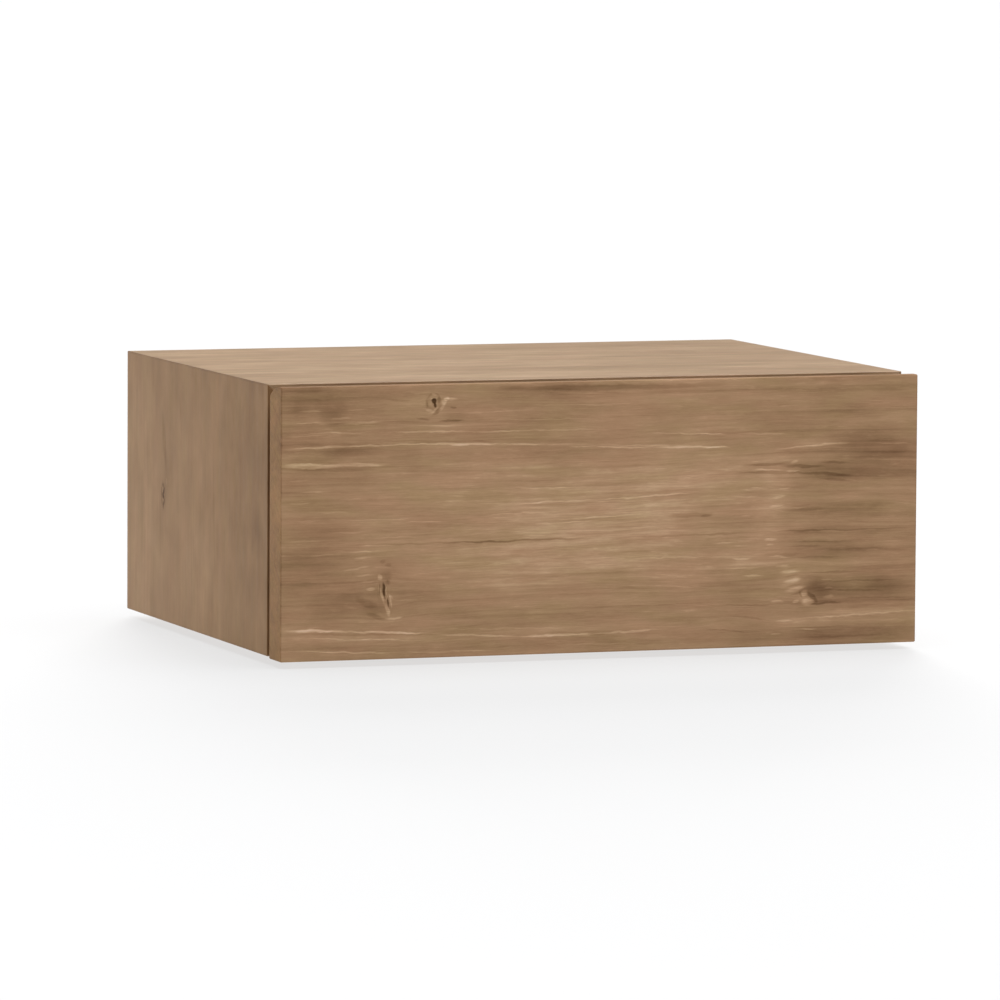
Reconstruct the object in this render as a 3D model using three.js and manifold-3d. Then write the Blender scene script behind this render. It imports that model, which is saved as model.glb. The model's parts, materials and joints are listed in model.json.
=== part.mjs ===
// Wall-hung nightstand in stained solid softwood: a mitred carcass, a back board that
// hangs on two keyhole plates, and one full-width drawer on full-extension ball slides.
// Millimetres. +X right, +Y towards the wall, +Z up.
// Origin: centre of the back board's rear face, in the plane that lies against the wall.

import * as THREE from "three";
import { mergeVertices } from "three/addons/utils/BufferGeometryUtils.js";
import Module from "manifold-3d";

const wasm = await Module();
wasm.setup();

// ---------------------------------------------------------------- driving dimensions
const WIDTH = 400; // carcass and drawer front, side to side
const HEIGHT = 160; // carcass, bottom to top
const DEPTH = 310; // wall plane to the face of the drawer front
const BOARD = 18; // carcass boards
const BACK_T = 16; // back board
const FRONT_T = 22; // drawer front
const FRONT_GAP = 4; // between the carcass edge and the back of the drawer front
const FRONT_DROP = 1; // the front hangs this much below the carcass
const BEVEL_DEPTH = 15.5; // finger bevel on the front's top rear edge, front to back
const BEVEL_DROP = 6; // and how far it falls
const EASE = 0.8; // eased arrises of the drawer front
const MITRE_GAP = 0.1; // glue line of the mitres
const FIT = 0.3; // clearance of a screw, biscuit or dowel in its hole

const DRAWER_T = 12; // drawer box sides, front and back
const DRAWER_LOW = -50;
const DRAWER_HIGH = 46;
const DRAWER_BACK_Y = -34;
const TRAY_T = 5; // drawer bottom
const TRAY_Z = -44; // its underside
const GROOVE = 6;
const FINGERS = 8; // finger joints of the drawer box

const SLIDE_T = 12.7; // thickness of a slide
const SLIDE_Z = -6; // its centre line
const SLIDE_LEN = 250;
const SHEET = 1.2; // rolled steel of the slide
const BALL_R = 1.5;
const CAGE_LEN = 110;
const MIDDLE_LEN = 240;

const HANGER_X = 130; // keyhole plates, either side of the middle
const HANGER_Z = 34;
const HANGER_W = 60;
const HANGER_H = 40;
const HANGER_T = 2;

// ---------------------------------------------------------------- derived
const HW = WIDTH / 2;
const HH = HEIGHT / 2;
const INNER_X = HW - BOARD;
const INNER_Z = HH - BOARD;
const CARCASS_FRONT_Y = -(DEPTH - FRONT_T - FRONT_GAP); // -284
const FRONT_BACK_Y = -(DEPTH - FRONT_T); // -288
const SLIDE_FRONT_Y = CARCASS_FRONT_Y + 2; // -282
const DRAWER_HALF = INNER_X - SLIDE_T - 0.1; // outside of the drawer box
const DRAWER_IN = DRAWER_HALF - DRAWER_T;
const BOX_FRONT_Y = FRONT_BACK_Y; // the drawer box starts at the front's back

// ---------------------------------------------------------------- materials
const stainedWood = new THREE.MeshStandardMaterial({ color: 0x9a7a5a, roughness: 0.6, metalness: 0 });
const innerWood = new THREE.MeshStandardMaterial({ color: 0xc9a97e, roughness: 0.65, metalness: 0 });
const plywood = new THREE.MeshStandardMaterial({ color: 0xd6bd93, roughness: 0.7, metalness: 0 });
const beech = new THREE.MeshStandardMaterial({ color: 0xd9b88c, roughness: 0.75, metalness: 0 });
const zinc = new THREE.MeshStandardMaterial({ color: 0xb9bcc0, roughness: 0.35, metalness: 1 });
const screwSteel = new THREE.MeshStandardMaterial({ color: 0xc7b27a, roughness: 0.35, metalness: 1 });
const blackPlastic = new THREE.MeshStandardMaterial({ color: 0x1c1c1d, roughness: 0.5, metalness: 0 });
const softRubber = new THREE.MeshStandardMaterial({ color: 0xdedede, roughness: 0.4, metalness: 0 });

// ---------------------------------------------------------------- solids
function toSolid(geometry) {
  const g = geometry.index ? geometry.toNonIndexed() : geometry.clone();
  const bare = new THREE.BufferGeometry().setAttribute("position", g.getAttribute("position"));
  const merged = mergeVertices(bare, 1e-4);
  const make = (tri) =>
    new wasm.Manifold(
      new wasm.Mesh({ numProp: 3, vertProperties: merged.attributes.position.array, triVerts: tri }),
    );
  let tri = new Uint32Array(merged.index.array);
  let solid = make(tri);
  if (solid.volume() < 0) {
    for (let i = 0; i < tri.length; i += 3) [tri[i + 1], tri[i + 2]] = [tri[i + 2], tri[i + 1]];
    solid = make(tri);
  }
  return solid;
}

function toGeometry(solid) {
  const m = solid.getMesh();
  const v = new Float32Array(m.numVert * 3);
  for (let i = 0; i < m.numVert; i++) v.set(m.vertProperties.subarray(i * m.numProp, i * m.numProp + 3), i * 3);
  const g = new THREE.BufferGeometry()
    .setAttribute("position", new THREE.BufferAttribute(v, 3))
    .setIndex(new THREE.BufferAttribute(m.triVerts, 1));
  const flat = g.toNonIndexed();
  flat.computeVertexNormals();
  return flat;
}

function cut(geometry, cutters) {
  let s = toSolid(geometry);
  for (const c of cutters) s = s.subtract(toSolid(c));
  return toGeometry(s);
}

function join(geometries) {
  let s = toSolid(geometries[0]);
  for (const g of geometries.slice(1)) s = s.add(toSolid(g));
  return toGeometry(s);
}

// A prism: an outline in one plane, carried along the third axis from a to b.
function prism(plane, points, a, b, holes = []) {
  const outline = points.map(([u, v]) => new THREE.Vector2(u, v));
  if (THREE.ShapeUtils.isClockWise(outline)) outline.reverse();
  const shape = new THREE.Shape(outline);
  for (const h of holes) shape.holes.push(new THREE.Path(h.map(([u, v]) => new THREE.Vector2(u, v))));
  const g = new THREE.ExtrudeGeometry(shape, { depth: b - a, bevelEnabled: false, steps: 1 });
  const m = new THREE.Matrix4();
  if (plane === "XZ") m.makeBasis(new THREE.Vector3(1, 0, 0), new THREE.Vector3(0, 0, 1), new THREE.Vector3(0, -1, 0));
  if (plane === "YZ") m.makeBasis(new THREE.Vector3(0, 1, 0), new THREE.Vector3(0, 0, 1), new THREE.Vector3(1, 0, 0));
  g.applyMatrix4(m);
  if (plane === "XZ") g.translate(0, b, 0);
  if (plane === "YZ") g.translate(a, 0, 0);
  if (plane === "XY") g.translate(0, 0, a);
  return g;
}

function block(x0, x1, y0, y1, z0, z1) {
  const g = new THREE.BoxGeometry(x1 - x0, y1 - y0, z1 - z0);
  g.translate((x0 + x1) / 2, (y0 + y1) / 2, (z0 + z1) / 2);
  return g;
}

// A round bar along an axis, from p for a length.
function rod(axis, r, p, length, sides = 16) {
  const g = new THREE.CylinderGeometry(r, r, length, sides);
  g.translate(0, length / 2, 0);
  if (axis === "+X") g.rotateZ(-Math.PI / 2);
  if (axis === "-X") g.rotateZ(Math.PI / 2);
  if (axis === "+Z") g.rotateX(Math.PI / 2);
  if (axis === "-Y") g.rotateX(Math.PI);
  g.translate(...p);
  return g;
}

function circle(cx, cy, r, n) {
  return Array.from({ length: n }, (_, i) => {
    const a = (2 * Math.PI * i) / n;
    return [cx + r * Math.cos(a), cy + r * Math.sin(a)];
  });
}

const root = new THREE.Group();
root.name = "nightstand";
const groups = {};
for (const name of [
  "carcass",
  "drawer",
  "left_slide",
  "right_slide",
]) {
  groups[name] = new THREE.Group();
  groups[name].name = name;
  root.add(groups[name]);
}

function piece(group, name, geometry, material, position = [0, 0, 0], rotation = [0, 0, 0]) {
  const mesh = new THREE.Mesh(geometry, material);
  mesh.name = name;
  mesh.position.set(...position);
  mesh.rotation.set(...rotation);
  groups[group].add(mesh);
  return mesh;
}

// ---------------------------------------------------------------- screws
// Countersunk wood screw along local Y: head face at y = 0, tip at y = -length.
const HEAD_R = 3.4;
const HEAD_H = 2.2;
function screwGeometry(r, length) {
  const p = [
    [0, -length],
    [r * 0.35, -length + 1.2],
    [r, -length + 4],
    [r, -HEAD_H],
    [HEAD_R, -0.35],
    [HEAD_R - 0.1, 0],
    [0, 0],
  ].map(([x, y]) => new THREE.Vector2(x, y));
  const body = new THREE.LatheGeometry(p, 12);
  const bar = () => {
    const b = new THREE.BoxGeometry(0.95, 1.6, 3.8);
    b.translate(0, -0.4, 0);
    return b;
  };
  return cut(body, [bar(), bar().rotateY(Math.PI / 2)]);
}
// The hole such a screw needs, as a cutter: a shank bore and a countersink, both FIT wider.
function screwHole(r, length) {
  const p = [
    [0, -length - 0.8],
    [r + FIT, -length - 0.8],
    [r + FIT, -HEAD_H],
    [HEAD_R + FIT, -0.35],
    [HEAD_R + FIT, 3],
    [0, 3],
  ].map(([x, y]) => new THREE.Vector2(x, y));
  return new THREE.LatheGeometry(p, 12);
}
// Rotations that turn local -Y (the way a screw points) onto a row axis.
const POINTS = {
  "-Y": [0, 0, 0],
  "+Y": [Math.PI, 0, 0],
  "-X": [0, 0, -Math.PI / 2],
  "+X": [0, 0, Math.PI / 2],
};
function placed(geometry, position, rotation) {
  const g = geometry.clone();
  g.applyMatrix4(
    new THREE.Matrix4().compose(
      new THREE.Vector3(...position),
      new THREE.Quaternion().setFromEuler(new THREE.Euler(...rotation)),
      new THREE.Vector3(1, 1, 1),
    ),
  );
  return g;
}

// ---------------------------------------------------------------- mitre biscuits
// Lens-shaped beech biscuit, 47 x 15 x 4, lying across each mitre.
const BISCUIT_L = 47;
const BISCUIT_W = 15;
const BISCUIT_T = 4;
function biscuitGeometry(grow) {
  const half = BISCUIT_L / 2 + grow;
  const w = BISCUIT_W / 2 + grow;
  const n = 10;
  const pts = [];
  for (let i = 0; i < n; i++) {
    const a = -1 + (2 * i) / n;
    pts.push([half * a, w * Math.sqrt(1 - a * a * 0.86) - w * 0.2 * a * a]);
  }
  for (let i = 0; i < n; i++) {
    const a = 1 - (2 * i) / n;
    pts.push([half * a, -(w * Math.sqrt(1 - a * a * 0.86) - w * 0.2 * a * a)]);
  }
  // outline along local X (the biscuit's length) and Y (its width); thickness along Z
  const g = prism("XY", pts, -BISCUIT_T / 2 - grow, BISCUIT_T / 2 + grow);
  // length onto row Y
  g.rotateZ(Math.PI / 2);
  return g; // length along Y, width along X, thickness along Z
}
const MITRE_IN = 2; // shifted towards the inside corner
const corners = [
  { name: "top_left", x: -1, z: 1 },
  { name: "top_right", x: 1, z: 1 },
  { name: "bottom_left", x: -1, z: -1 },
  { name: "bottom_right", x: 1, z: -1 },
];
const biscuits = [];
for (const c of corners) {
  const cx = c.x * (HW - BOARD / 2 - MITRE_IN);
  const cz = c.z * (HH - BOARD / 2 - MITRE_IN);
  // The mitre plane runs along (c.x, c.z); the biscuit's width lies across it.
  const angle = c.x * c.z > 0 ? Math.PI / 4 : -Math.PI / 4;
  for (const [where, y] of [
    ["front", CARCASS_FRONT_Y + 62],
    ["rear", -78],
  ])
    biscuits.push({
      name: `mitre_biscuit_${c.name}_${where}`,
      corner: c,
      position: [cx, y, cz],
      rotation: [0, angle, 0],
    });
}
function biscuitSlots(test) {
  return biscuits
    .filter((b) => test(b.corner))
    .map((b) => placed(biscuitGeometry(FIT), b.position, b.rotation));
}

// ---------------------------------------------------------------- back dowels
const DOWEL_R = 4;
const DOWEL_L = 28;
const DOWEL_IN = 11; // in the side board
const dowels = [];
for (const [side, sx] of [
  ["left", -1],
  ["right", 1],
])
  for (const [level, z] of [
    ["upper", 40],
    ["lower", -40],
  ])
    dowels.push({
      name: `back_dowel_${level}_${side}`,
      side: sx,
      from: [sx * (INNER_X + DOWEL_IN), -BACK_T / 2, z],
      axis: sx < 0 ? "+X" : "-X",
    });
function dowelHoles(test) {
  return dowels.filter(test).map((d) => {
    const x0 = d.from[0] + d.side * 1;
    return rod(d.axis, DOWEL_R + FIT, [x0, d.from[1], d.from[2]], DOWEL_L + 2, 16);
  });
}

// ---------------------------------------------------------------- screws: where they go
const CABINET_SCREW_U = [18, 232]; // along a slide from its front end
const DRAWER_SCREW_U = [26, 226];
const slideScrews = [];
for (const [side, sx] of [
  ["left", -1],
  ["right", 1],
])
  ["front", "rear"].forEach((end, i) => {
    slideScrews.push({
      name: `cabinet_member_screw_${side}_${end}`,
      kind: "cabinet",
      side: sx,
      position: [sx * (INNER_X - SHEET), SLIDE_FRONT_Y + CABINET_SCREW_U[i], SLIDE_Z],
      way: sx < 0 ? "-X" : "+X",
      length: 15,
    });
    slideScrews.push({
      name: `drawer_member_screw_${side}_${end}`,
      kind: "drawer",
      side: sx,
      position: [sx * (INNER_X - SLIDE_T + SHEET), SLIDE_FRONT_Y + DRAWER_SCREW_U[i], SLIDE_Z],
      way: sx < 0 ? "+X" : "-X",
      length: 11.5,
    });
  });
const SLIDE_SCREW_R = 1.75;

const FRONT_SCREW_R = 2;
const FRONT_SCREW_L = 27;
const frontScrews = [];
for (const [side, sx] of [
  ["left", -1],
  ["right", 1],
])
  for (const [level, z] of [
    ["upper", 24],
    ["lower", -20],
  ])
    frontScrews.push({
      name: `drawer_front_screw_${level}_${side}`,
      position: [sx * 110, BOX_FRONT_Y + DRAWER_T, z],
      way: "-Y",
    });

const HANGER_SCREW_R = 1.75;
const HANGER_SCREW_L = 13;
const HANGER_SCREW_X = 22;
const hangers = [
  { name: "left", x: -HANGER_X },
  { name: "right", x: HANGER_X },
];
const hangerScrews = hangers.flatMap((h) =>
  [
    ["outer", Math.sign(h.x) * HANGER_SCREW_X],
    ["inner", -Math.sign(h.x) * HANGER_SCREW_X],
  ].map(([where, dx]) => ({
    name: `hanger_screw_${h.name}_${where}`,
    position: [h.x + dx, 0, HANGER_Z],
    way: "-Y",
  })),
);

const way = (s) => POINTS[s.way];

// ---------------------------------------------------------------- carcass boards
const m = MITRE_GAP;
{
  const top = prism(
    "XZ",
    [
      [-HW + m, HH],
      [-INNER_X + m, INNER_Z],
      [INNER_X - m, INNER_Z],
      [HW - m, HH],
    ],
    CARCASS_FRONT_Y,
    0,
  );
  piece("carcass", "top_panel", cut(top, biscuitSlots((c) => c.z > 0)), stainedWood);
  const bottom = prism(
    "XZ",
    [
      [-HW + m, -HH],
      [HW - m, -HH],
      [INNER_X - m, -INNER_Z],
      [-INNER_X + m, -INNER_Z],
    ],
    CARCASS_FRONT_Y,
    0,
  );
  piece("carcass", "bottom_panel", cut(bottom, biscuitSlots((c) => c.z < 0)), stainedWood);
}
for (const [side, sx] of [
  ["left", -1],
  ["right", 1],
]) {
  const g = prism(
    "XZ",
    [
      [sx * HW, -HH],
      [sx * HW, HH],
      [sx * INNER_X, INNER_Z],
      [sx * INNER_X, -INNER_Z],
    ],
    CARCASS_FRONT_Y,
    0,
  );
  const screws = slideScrews
    .filter((s) => s.kind === "cabinet" && s.side === sx)
    .map((s) => placed(screwHole(SLIDE_SCREW_R, s.length), s.position, way(s)));
  piece(
    "carcass",
    `${side}_side_panel`,
    cut(g, [...biscuitSlots((c) => c.x === sx), ...dowelHoles((d) => d.side === sx), ...screws]),
    stainedWood,
  );
}
for (const b of biscuits) piece("carcass", b.name, biscuitGeometry(0), beech, b.position, b.rotation);
for (const d of dowels) piece("carcass", d.name, rod(d.axis, DOWEL_R, [0, 0, 0], DOWEL_L, 16), beech, d.from);

// ---------------------------------------------------------------- back board and keyhole plates
// Keyhole, about the plate's centre: round entry below, slot above it.
const KEY_R = 6;
const KEY_Z = -5;
const SLOT_HALF = 2.9;
const SLOT_TOP = 9;
function keyhole() {
  const pts = [];
  const a0 = Math.asin(SLOT_HALF / KEY_R);
  const start = Math.PI / 2 + a0;
  const span = 2 * Math.PI - 2 * a0;
  for (let i = 0; i <= 14; i++) {
    const a = start + (span * i) / 14;
    pts.push([KEY_R * Math.cos(a), KEY_Z + KEY_R * Math.sin(a)]);
  }
  for (let i = 0; i <= 6; i++) {
    const a = (Math.PI * i) / 6;
    pts.push([SLOT_HALF * Math.cos(a), SLOT_TOP - SLOT_HALF + SLOT_HALF * Math.sin(a)]);
  }
  return pts;
}
const POCKET_HALF = 8;
const POCKET_LOW = -13;
const POCKET_HIGH = 15;
const POCKET_DEEP = 12.5; // from the wall plane into the board
{
  const back = block(-INNER_X + 0.1, INNER_X - 0.1, -BACK_T, 0, -INNER_Z + 0.1, INNER_Z - 0.1);
  const cuts = [];
  for (const h of hangers) {
    const e = FIT;
    cuts.push(
      block(h.x - HANGER_W / 2 - e, h.x + HANGER_W / 2 + e, -HANGER_T - e, 1, HANGER_Z - HANGER_H / 2 - e, HANGER_Z + HANGER_H / 2 + e),
      block(h.x - POCKET_HALF, h.x + POCKET_HALF, -POCKET_DEEP, 1, HANGER_Z + POCKET_LOW, HANGER_Z + POCKET_HIGH),
    );
  }
  for (const s of hangerScrews) cuts.push(placed(screwHole(HANGER_SCREW_R, HANGER_SCREW_L), s.position, way(s)));
  piece("carcass", "back_panel", cut(back, [...cuts, ...dowelHoles(() => true)]), stainedWood);
}
for (const h of hangers) {
  const w = HANGER_W / 2;
  const z = HANGER_H / 2;
  const c = 4;
  const plate = prism(
    "XZ",
    [
      [-w + c, -z],
      [w - c, -z],
      [w, -z + c],
      [w, z - c],
      [w - c, z],
      [-w + c, z],
      [-w, z - c],
      [-w, -z + c],
    ],
    -HANGER_T,
    0,
    [keyhole()],
  );
  const holes = hangerScrews
    .filter((s) => s.name.includes(h.name))
    .map((s) => placed(screwHole(HANGER_SCREW_R, HANGER_SCREW_L), [s.position[0] - h.x, 0, 0], way(s)));
  piece("carcass", `keyhole_hanger_${h.name}`, cut(plate, holes), zinc, [h.x, 0, HANGER_Z]);
}
for (const s of hangerScrews)
  piece("carcass", s.name, screwGeometry(HANGER_SCREW_R, HANGER_SCREW_L), screwSteel, s.position, way(s));

// ---------------------------------------------------------------- drawer front
{
  const y0 = FRONT_BACK_Y; // rear face
  const y1 = -DEPTH; // visible face
  const zt = HH;
  const zb = -HH - FRONT_DROP;
  const profile = [
    [y0, zb + EASE],
    [y0, zt - BEVEL_DROP - 0.6],
    [y0 - 0.5, zt - BEVEL_DROP + 0.5],
    [y0 - BEVEL_DEPTH + 2.5, zt - 0.55],
    [y0 - BEVEL_DEPTH - 0.5, zt],
    [y1 + EASE, zt],
    [y1, zt - EASE],
    [y1, zb + EASE],
    [y1 + EASE, zb],
    [y0 - EASE, zb],
  ];
  const g = prism("YZ", profile, -HW, HW);
  const holes = frontScrews.map((s) => placed(screwHole(FRONT_SCREW_R, FRONT_SCREW_L), s.position, way(s)));
  piece("drawer", "drawer_front", cut(g, holes), stainedWood);
}

// ---------------------------------------------------------------- drawer box with finger joints
const PITCH = (DRAWER_HIGH - DRAWER_LOW) / FINGERS;
const g0 = 0.05; // half the glue line of the finger joints
// Edge of a board with fingers: returns [offset, z] points going up; odd or even fingers stand out.
function fingerEdge(inner, outer, parity, low = DRAWER_LOW, high = DRAWER_HIGH) {
  const pts = [];
  for (let i = 0; i < FINGERS; i++) {
    const out = i % 2 === parity;
    const first = i === 0;
    const last = i === FINGERS - 1;
    let a = DRAWER_LOW + i * PITCH + (first ? 0 : out ? g0 : -g0);
    let b = DRAWER_LOW + (i + 1) * PITCH - (last ? 0 : out ? g0 : -g0);
    a = Math.max(a, low);
    b = Math.min(b, high);
    if (b - a < 1e-6) continue;
    const x = out ? outer : inner;
    pts.push([x, a], [x, b]);
  }
  return pts;
}
const SIDE_FRONT = BOX_FRONT_Y;
const SIDE_BACK = DRAWER_BACK_Y;
const groove = (extra) => [TRAY_Z - 0.2 + 0 * extra, TRAY_Z + TRAY_T + 0.2];
for (const [side, sx] of [
  ["left", -1],
  ["right", 1],
]) {
  // outline in Y-Z: fingers at the front end (towards -Y) and the back end
  const front = fingerEdge(SIDE_FRONT + DRAWER_T + g0, SIDE_FRONT, 0);
  const back = fingerEdge(SIDE_BACK - DRAWER_T - g0, SIDE_BACK, 0);
  const outline = [...front, ...back.reverse()];
  const xa = sx < 0 ? -DRAWER_HALF : DRAWER_IN;
  const xb = sx < 0 ? -DRAWER_IN : DRAWER_HALF;
  const g = prism("YZ", outline, xa, xb);
  const [gz0, gz1] = groove(0);
  const gx0 = sx < 0 ? -DRAWER_IN - GROOVE : DRAWER_IN - 1;
  const gx1 = sx < 0 ? -DRAWER_IN + 1 : DRAWER_IN + GROOVE;
  const cuts = [block(gx0, gx1, SIDE_FRONT + DRAWER_T - GROOVE, SIDE_BACK + 1, gz0, gz1)];
  for (const s of slideScrews)
    if (s.kind === "drawer" && s.side === sx)
      cuts.push(placed(screwHole(SLIDE_SCREW_R, s.length), s.position, way(s)));
  piece("drawer", `drawer_side_${side}`, cut(g, cuts), innerWood);
}
{
  // front of the box: fingers at both ends, odd ones
  const right = fingerEdge(DRAWER_IN - g0, DRAWER_HALF, 1);
  const left = right.map(([x, z]) => [-x, z]).reverse();
  const g = prism("XZ", [...right, ...left], BOX_FRONT_Y, BOX_FRONT_Y + DRAWER_T);
  const [gz0, gz1] = groove(0);
  const cuts = [
    block(-DRAWER_IN - GROOVE, DRAWER_IN + GROOVE, BOX_FRONT_Y + DRAWER_T - GROOVE, BOX_FRONT_Y + DRAWER_T + 1, gz0, gz1),
    ...frontScrews.map((s) => placed(screwHole(FRONT_SCREW_R, FRONT_SCREW_L), s.position, way(s))),
  ];
  piece("drawer", "drawer_box_front", cut(g, cuts), innerWood);
}
{
  // back of the box stands on the tray, which slides in under it
  const low = TRAY_Z + TRAY_T + 0.2;
  const right = fingerEdge(DRAWER_IN - g0, DRAWER_HALF, 1, low);
  const left = right.map(([x, z]) => [-x, z]).reverse();
  const g = prism("XZ", [...right, ...left], DRAWER_BACK_Y - DRAWER_T, DRAWER_BACK_Y);
  piece("drawer", "drawer_box_back", g, innerWood);
}
{
  const e = 0.3;
  piece(
    "drawer",
    "drawer_bottom",
    block(
      -DRAWER_IN - GROOVE + e,
      DRAWER_IN + GROOVE - e,
      BOX_FRONT_Y + DRAWER_T - GROOVE + e,
      DRAWER_BACK_Y - 0.5,
      TRAY_Z,
      TRAY_Z + TRAY_T,
    ),
    plywood,
  );
}
for (const s of frontScrews)
  piece("drawer", s.name, screwGeometry(FRONT_SCREW_R, FRONT_SCREW_L), screwSteel, s.position, way(s));

// soft buffers on the back of the drawer front
for (const [side, sx] of [
  ["left", -1],
  ["right", 1],
]) {
  const p = [
    [0, 0],
    [4.5, 0],
    [4.5, 1.6],
    [3.6, 3.0],
    [1.8, 3.6],
    [0, 3.7],
  ].map(([x, y]) => new THREE.Vector2(x, y));
  const dome = toGeometry(toSolid(new THREE.LatheGeometry(p, 14)));
  piece("drawer", `drawer_buffer_${side}`, dome, softRubber, [sx * (HW - BOARD / 2), FRONT_BACK_Y, 50]);
}

// ---------------------------------------------------------------- slides
// s is measured from the carcass side towards the drawer; z from the slide's centre line.
function channel(side, outline, u0, u1, holes = []) {
  const pts = outline.map(([s, z]) => [side * (INNER_X - s), SLIDE_Z + z]);
  const g = prism("XZ", pts, SLIDE_FRONT_Y + u0, SLIDE_FRONT_Y + u1);
  return holes.length ? cut(g, holes) : g;
}
const both = (half) => [...half, ...half.map(([s, z]) => [s, -z]).reverse()];
// Closed outlines as a half from the middle line up; `both` mirrors it.
const cabinetProfile = both([
  [0, 0],
  [0, 22.8],
  [9.0, 22.8],
  [9.8, 22.0],
  [9.8, 20.4],
  [8.6, 20.4],
  [8.6, 21.6],
  [SHEET, 21.6],
  [SHEET, 0],
]);
const middleProfile = both([
  [2.4, 0],
  [2.4, 18.0],
  [10.6, 18.0],
  [10.6, 15.4],
  [9.5, 15.4],
  [9.5, 16.8],
  [3.6, 16.8],
  [3.6, 0],
]);
const drawerProfile = both([
  [SLIDE_T - SHEET, 0],
  [SLIDE_T - SHEET, 12.0],
  [5.4, 12.0],
  [5.4, 13.2],
  [SLIDE_T, 13.2],
  [SLIDE_T, 0],
]);
const outerCageProfile = both([
  [1.5, 0],
  [1.5, 20.1],
  [8.2, 20.1],
  [8.2, 19.5],
  [2.1, 19.5],
  [2.1, 0],
]);
const innerCageProfile = both([
  [3.9, 0],
  [3.9, 15.3],
  [9.2, 15.3],
  [9.2, 14.7],
  [4.5, 14.7],
  [4.5, 0],
]);
// `both` repeats the two middle-line points; drop the doubles.
function tidy(points) {
  return points.filter(([s, z], i) => {
    const [ps, pz] = points[(i + points.length - 1) % points.length];
    return Math.hypot(s - ps, z - pz) > 1e-6 && !(z === 0);
  });
}
function cage(side, profile, u0, ballS, ballZ) {
  const parts = [channel(side, tidy(profile), u0, u0 + CAGE_LEN)];
  for (let i = 0; i < 5; i++)
    for (const sign of [1, -1]) {
      const b = new THREE.SphereGeometry(BALL_R, 8, 6);
      b.translate(side * (INNER_X - ballS), SLIDE_FRONT_Y + u0 + 9 + i * 23, SLIDE_Z + sign * ballZ);
      parts.push(b);
    }
  return join(parts);
}
const OUTER_CAGE_U = 66;
const INNER_CAGE_U = 70;
const LEVER_PIVOT_U = 205;
const LEVER_LEN = 52;

for (const [side, sx] of [
  ["left", -1],
  ["right", 1],
]) {
  const group = `${side}_slide`;
  const hole = (s) => placed(screwHole(SLIDE_SCREW_R, s.length), s.position, way(s));
  const mine = slideScrews.filter((s) => s.side === sx);
  piece(
    group,
    `cabinet_member_${side}`,
    channel(sx, tidy(cabinetProfile), 0, SLIDE_LEN, mine.filter((s) => s.kind === "cabinet").map(hole)),
    zinc,
  );
  // the middle member has an access hole over each cabinet screw's place when it is drawn out
  piece(
    group,
    `middle_member_${side}`,
    channel(sx, tidy(middleProfile), 2, 2 + MIDDLE_LEN, [
      rod("+X", 5, [sx * (INNER_X - 3) - 3, SLIDE_FRONT_Y + 143, SLIDE_Z], 6, 14),
      rod("+X", 5, [sx * (INNER_X - 3) - 3, SLIDE_FRONT_Y + 30, SLIDE_Z], 6, 14),
    ]),
    zinc,
  );
  piece(
    group,
    `drawer_member_${side}`,
    channel(sx, tidy(drawerProfile), 0, SLIDE_LEN, mine.filter((s) => s.kind === "drawer").map(hole)),
    zinc,
  );
  piece(group, `outer_ball_cage_${side}`, cage(sx, outerCageProfile, OUTER_CAGE_U, 5.4, 19.8), zinc);
  piece(group, `inner_ball_cage_${side}`, cage(sx, innerCageProfile, INNER_CAGE_U, 7.2, 15.0), zinc);
  for (const s of mine) piece(group, s.name, screwGeometry(SLIDE_SCREW_R, s.length), screwSteel, s.position, way(s));

  // release lever, in the drawer member's channel, on a rivet
  const lever = prism(
    "YZ",
    [
      [5.5, -2.2],
      [4.5, -4.2],
      [-30, -3.4],
      [-LEVER_LEN + 12, -5],
      [-LEVER_LEN, -5],
      [-LEVER_LEN, 5],
      [-LEVER_LEN + 12, 5],
      [-30, 3.4],
      [4.5, 4.2],
      [5.5, 2.2],
    ],
    -2.1,
    2.1,
    [circle(0, 0, 2.3, 14)],
  );
  piece(group, `release_lever_${side}`, lever, blackPlastic, [
    sx * (INNER_X - 8.8),
    SLIDE_FRONT_Y + LEVER_PIVOT_U,
    SLIDE_Z,
  ]);
  const rp = [
    [0, 0],
    [2, 0],
    [2, 5.0],
    [3.3, 5.0],
    [3.3, 5.6],
    [2.4, 6.0],
    [0, 6.0],
  ].map(([x, y]) => new THREE.Vector2(x, y));
  const rivet = toGeometry(toSolid(new THREE.LatheGeometry(rp, 14)));
  piece(group, `lever_rivet_${side}`, rivet, zinc, [sx * (INNER_X - SLIDE_T + SHEET), SLIDE_FRONT_Y + LEVER_PIVOT_U, SLIDE_Z], [
    0,
    0,
    sx < 0 ? Math.PI / 2 : -Math.PI / 2,
  ]);
}

export default root;
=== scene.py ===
"""Looks of the wall-hung nightstand: stained knotty pine boards, drawer box, slides and
hanging plates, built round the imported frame. Metres, row frame."""

import json
import math

import bmesh
import bpy
import numpy as np
from mathutils import Matrix, Vector


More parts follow.
